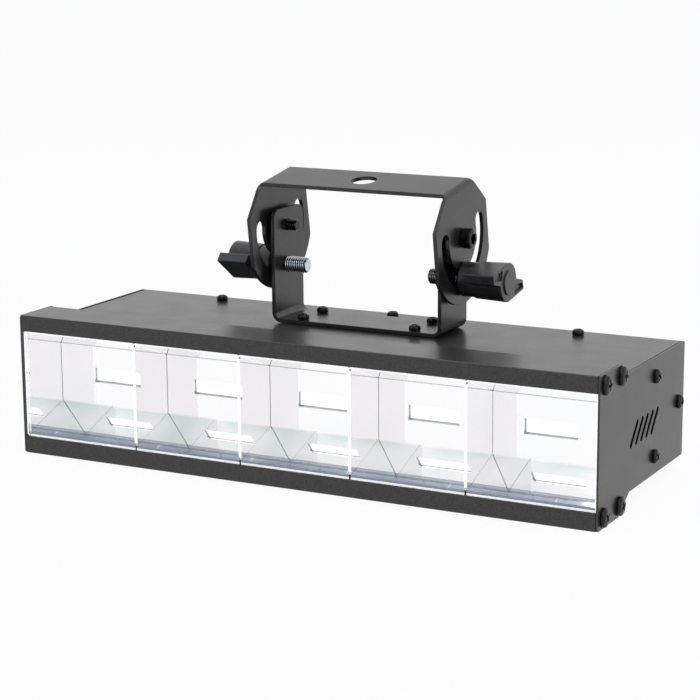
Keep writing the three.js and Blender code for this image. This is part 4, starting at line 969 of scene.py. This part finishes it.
def knob_pocket():
    """A four-sided pocket in a wing's end, a wall's width inside the wing, with rounded corners."""
    wall, disc = KNOB["wall"], KNOB["disc"]
    corners = [(disc, KNOB["tip_low"] + wall), (KNOB["reach"] - wall, KNOB["tip_low"] + wall),
               (KNOB["tip_reach"] - wall, KNOB["tip_high"] - wall), (disc + wall, KNOB["root"] - 2 * wall)]
    return rounded(corners, KNOB["round"] / 2).reshape(-1, 2)


def clamp_knob():
    """The outline drawn out along the axis with a draft, scale = 1 - draft (top - height) / (top - low),
    and with rounded ends, closed by its faces, a disc in front, and a collar with a bore behind."""
    low, end, disc = KNOB["collar_length"], KNOB["length"], KNOB["disc"]
    top = end - KNOB["disc_rise"]
    angle = np.linspace(0, math.pi / 2, EDGE_STEPS + 1)
    push = KNOB["soft"] * (1 - np.sin(angle))
    lift = KNOB["soft"] * (1 - np.cos(angle))
    height = np.concatenate([low + lift / 2, top - lift[::-1]])
    scale = 1 - KNOB["draft"] * (top - height) / (top - low)
    outline = knob_outline()
    push = np.concatenate([push / 2, push[::-1]])
    rings = scale[:, None, None] * outline + push[:, None, None] * inward(outline)
    pockets = [knob_pocket(), -knob_pocket()]
    soft = KNOB["soft"] / 2
    rims = [pocket - soft * inward(pocket) for pocket in pockets]
    bore, deep = KNOB["bore"], STUD["in_knob"] + SEAT
    collar, bevel = KNOB["collar"], KNOB["bevel"]
    parts = [
        stack(rings, height),
        filled([rings[0], circle(collar)], low),
        filled([rings[-1], circle(disc + soft), *rims], top),
        turned([(disc + soft, top), (disc, top + soft / 2), (disc, end - soft), (disc - soft, end),
                (0, end)]),
        turned([(0, deep), (bore, deep), (bore, soft), (bore + soft, 0), (collar - bevel, 0), (collar, bevel),
                (collar, low)])]
    floor_level = top - KNOB["pocket"]
    for pocket, rim in zip(pockets, rims):
        floor_ring = pocket + soft * inward(pocket)
        levels = [top, top - soft, floor_level + soft, floor_level]
        parts.append(stack([rim, pocket, pocket, floor_ring], levels))
        parts.append(filled([floor_ring], floor_level))
    return parts


def clamps_and_pivots():
    """On each side: a pivot screw, a clamp stud and its knob, on axes that point outwards."""
    for side_name, side in SIDES.items():
        outward = OUTWARD[side_name]
        screw_high = np.abs(box_of(f"{side_name}_pivot_screw")).max(0)[0]
        pivot = (side * (screw_high - PIVOT["rise"]), *pivot_place[1:])
        piece(f"{side_name}_socket_screw", placed(socket_screw(PIVOT), outward, pivot, PIVOT["turn"]),
              "housing", "black_steel", f"{side_name}_pivot_screw")
        knob_high = np.abs(box_of(f"{side_name}_clamp_knob")).max(0)[0]
        base = side * (knob_high - KNOB["length"])
        stud = np.array(box_of(f"{side_name}_clamp_stud"))
        low, high = np.sort(side * (stud[:, 0] - base))
        place = (base, *clamp_place[1:])
        piece(f"{side_name}_threaded_stud", placed(clamp_stud(low, high), outward, place),
              f"{side_name}_stud", "zinc_steel", f"{side_name}_clamp_stud")
        piece(f"{side_name}_wing_knob", placed(clamp_knob(), outward, place, KNOB_TURN[side_name]),
              f"{side_name}_knob", "black_plastic", f"{side_name}_clamp_knob")


outer_yoke()
inner_bracket()
for side_name in SIDES:
    end_plate(side_name)
all_cross_screws()
clamps_and_pivots()


# Camera
def aim_camera():
    """The camera's axes: back from azimuth and elevation, right level, then both rolled about back."""
    sin_a, cos_a = math.sin(CAMERA_AZIMUTH), math.cos(CAMERA_AZIMUTH)
    sin_e, cos_e = math.sin(CAMERA_ELEVATION), math.cos(CAMERA_ELEVATION)
    back = Vector((sin_a * cos_e, -cos_a * cos_e, sin_e))
    right = Vector((0, 0, 1)).cross(back).normalized()
    up = back.cross(right)
    sin_r, cos_r = math.sin(CAMERA_ROLL), math.cos(CAMERA_ROLL)
    rolled = (cos_r * right + sin_r * up, -sin_r * right + cos_r * up, back)
    data = bpy.data.cameras.new("camera")
    data.sensor_width = SENSOR
    data.lens = SENSOR * LENS_PIXELS / IMAGE_PIXELS
    camera = bpy.data.objects.new("camera", data)
    bpy.context.scene.collection.objects.link(camera)
    camera.matrix_world = Matrix.Translation(CAMERA_PLACE) @ Matrix(rolled).transposed().to_4x4()
    bpy.context.scene.camera = camera


# Light: a white room that gloss and glass show in full, one wide lamp overhead and one at the right
def seen_rays(tree):
    """1 for rays that show a surface to the camera, by sight, in gloss or through glass, and 0 for light."""
    paths = tree.nodes.new("ShaderNodeLightPath")
    total = paths.outputs["Is Camera Ray"]
    for ray in ("Is Glossy Ray", "Is Transmission Ray"):
        total = worked(tree, "MAXIMUM", total, paths.outputs[ray])
    return total


def white_room():
    """The world: plain ambient light, and white wherever it is seen, apart from a dim corner overhead."""
    world = bpy.data.worlds.new("room")
    world.use_nodes = True
    bpy.context.scene.world = world
    tree = world.node_tree
    background = next(node for node in tree.nodes if node.type == "BACKGROUND")
    strength = spread(tree, seen_rays(tree), low=AMBIENT, high=1.0, start=0, end=1)
    tree.links.new(strength, background.inputs["Strength"])
    direction = tree.nodes.new("ShaderNodeTexCoord")
    near = tree.nodes.new("ShaderNodeVectorMath")
    near.operation = "DOT_PRODUCT"
    near.inputs[1].default_value = DIM_CORNER["towards"]
    tree.links.new(direction.outputs["Generated"], near.inputs[0])
    shade = two_tones(tree, near.outputs["Value"], (1, 1, 1, 1), tint(*DIM_CORNER["tone"]),
                      DIM_CORNER["start"], DIM_CORNER["end"])
    tree.links.new(shade, background.inputs["Color"])


def lamp(name, place, size, power):
    """A square soft lamp that faces the object."""
    data = bpy.data.lights.new(name, "AREA")
    data.size = size
    data.energy = power
    light = bpy.data.objects.new(name, data)
    bpy.context.scene.collection.objects.link(light)
    direction = Vector(LAMP_TARGET) - Vector(place)
    light.matrix_world = Matrix.Translation(place) @ direction.to_track_quat("-Z", "Y").to_matrix().to_4x4()


def floor():
    """A wide round floor: point = (r cos a, r sin a, 0). It takes light as pale grey and shows as white."""
    points, faces = turned([(radius, 0) for radius in FLOOR_RADII], FLOOR_STEPS)
    mesh = bpy.data.meshes.new("floor")
    mesh.from_pydata(points.tolist(), [], faces.tolist())
    material, tree, shader = new_finish("floor", Base_Color=(0.85, 0.85, 0.85, 1), Roughness=0.9)
    output = next(node for node in tree.nodes if node.type == "OUTPUT_MATERIAL")
    glow = tree.nodes.new("ShaderNodeEmission")
    mixer = tree.nodes.new("ShaderNodeMixShader")
    share = spread(tree, seen_rays(tree), low=0.0, high=FLOOR_GLOW, start=0, end=1)
    tree.links.new(share, mixer.inputs["Fac"])
    tree.links.new(shader.outputs["BSDF"], mixer.inputs[1])
    tree.links.new(glow.outputs["Emission"], mixer.inputs[2])
    tree.links.new(mixer.outputs["Shader"], output.inputs["Surface"])
    mesh.materials.append(material)
    ground = bpy.data.objects.new("floor", mesh)
    bpy.context.scene.collection.objects.link(ground)


aim_camera()
white_room()
for index, settings in enumerate(LAMPS):
    lamp(f"lamp_{index}", **settings)
floor()

# Enough bounces for mirrors behind a clear pane
scene = bpy.context.scene
scene.view_settings.view_transform = "Standard"
scene.cycles.glossy_bounces = 12
scene.cycles.transparent_max_bounces = 16
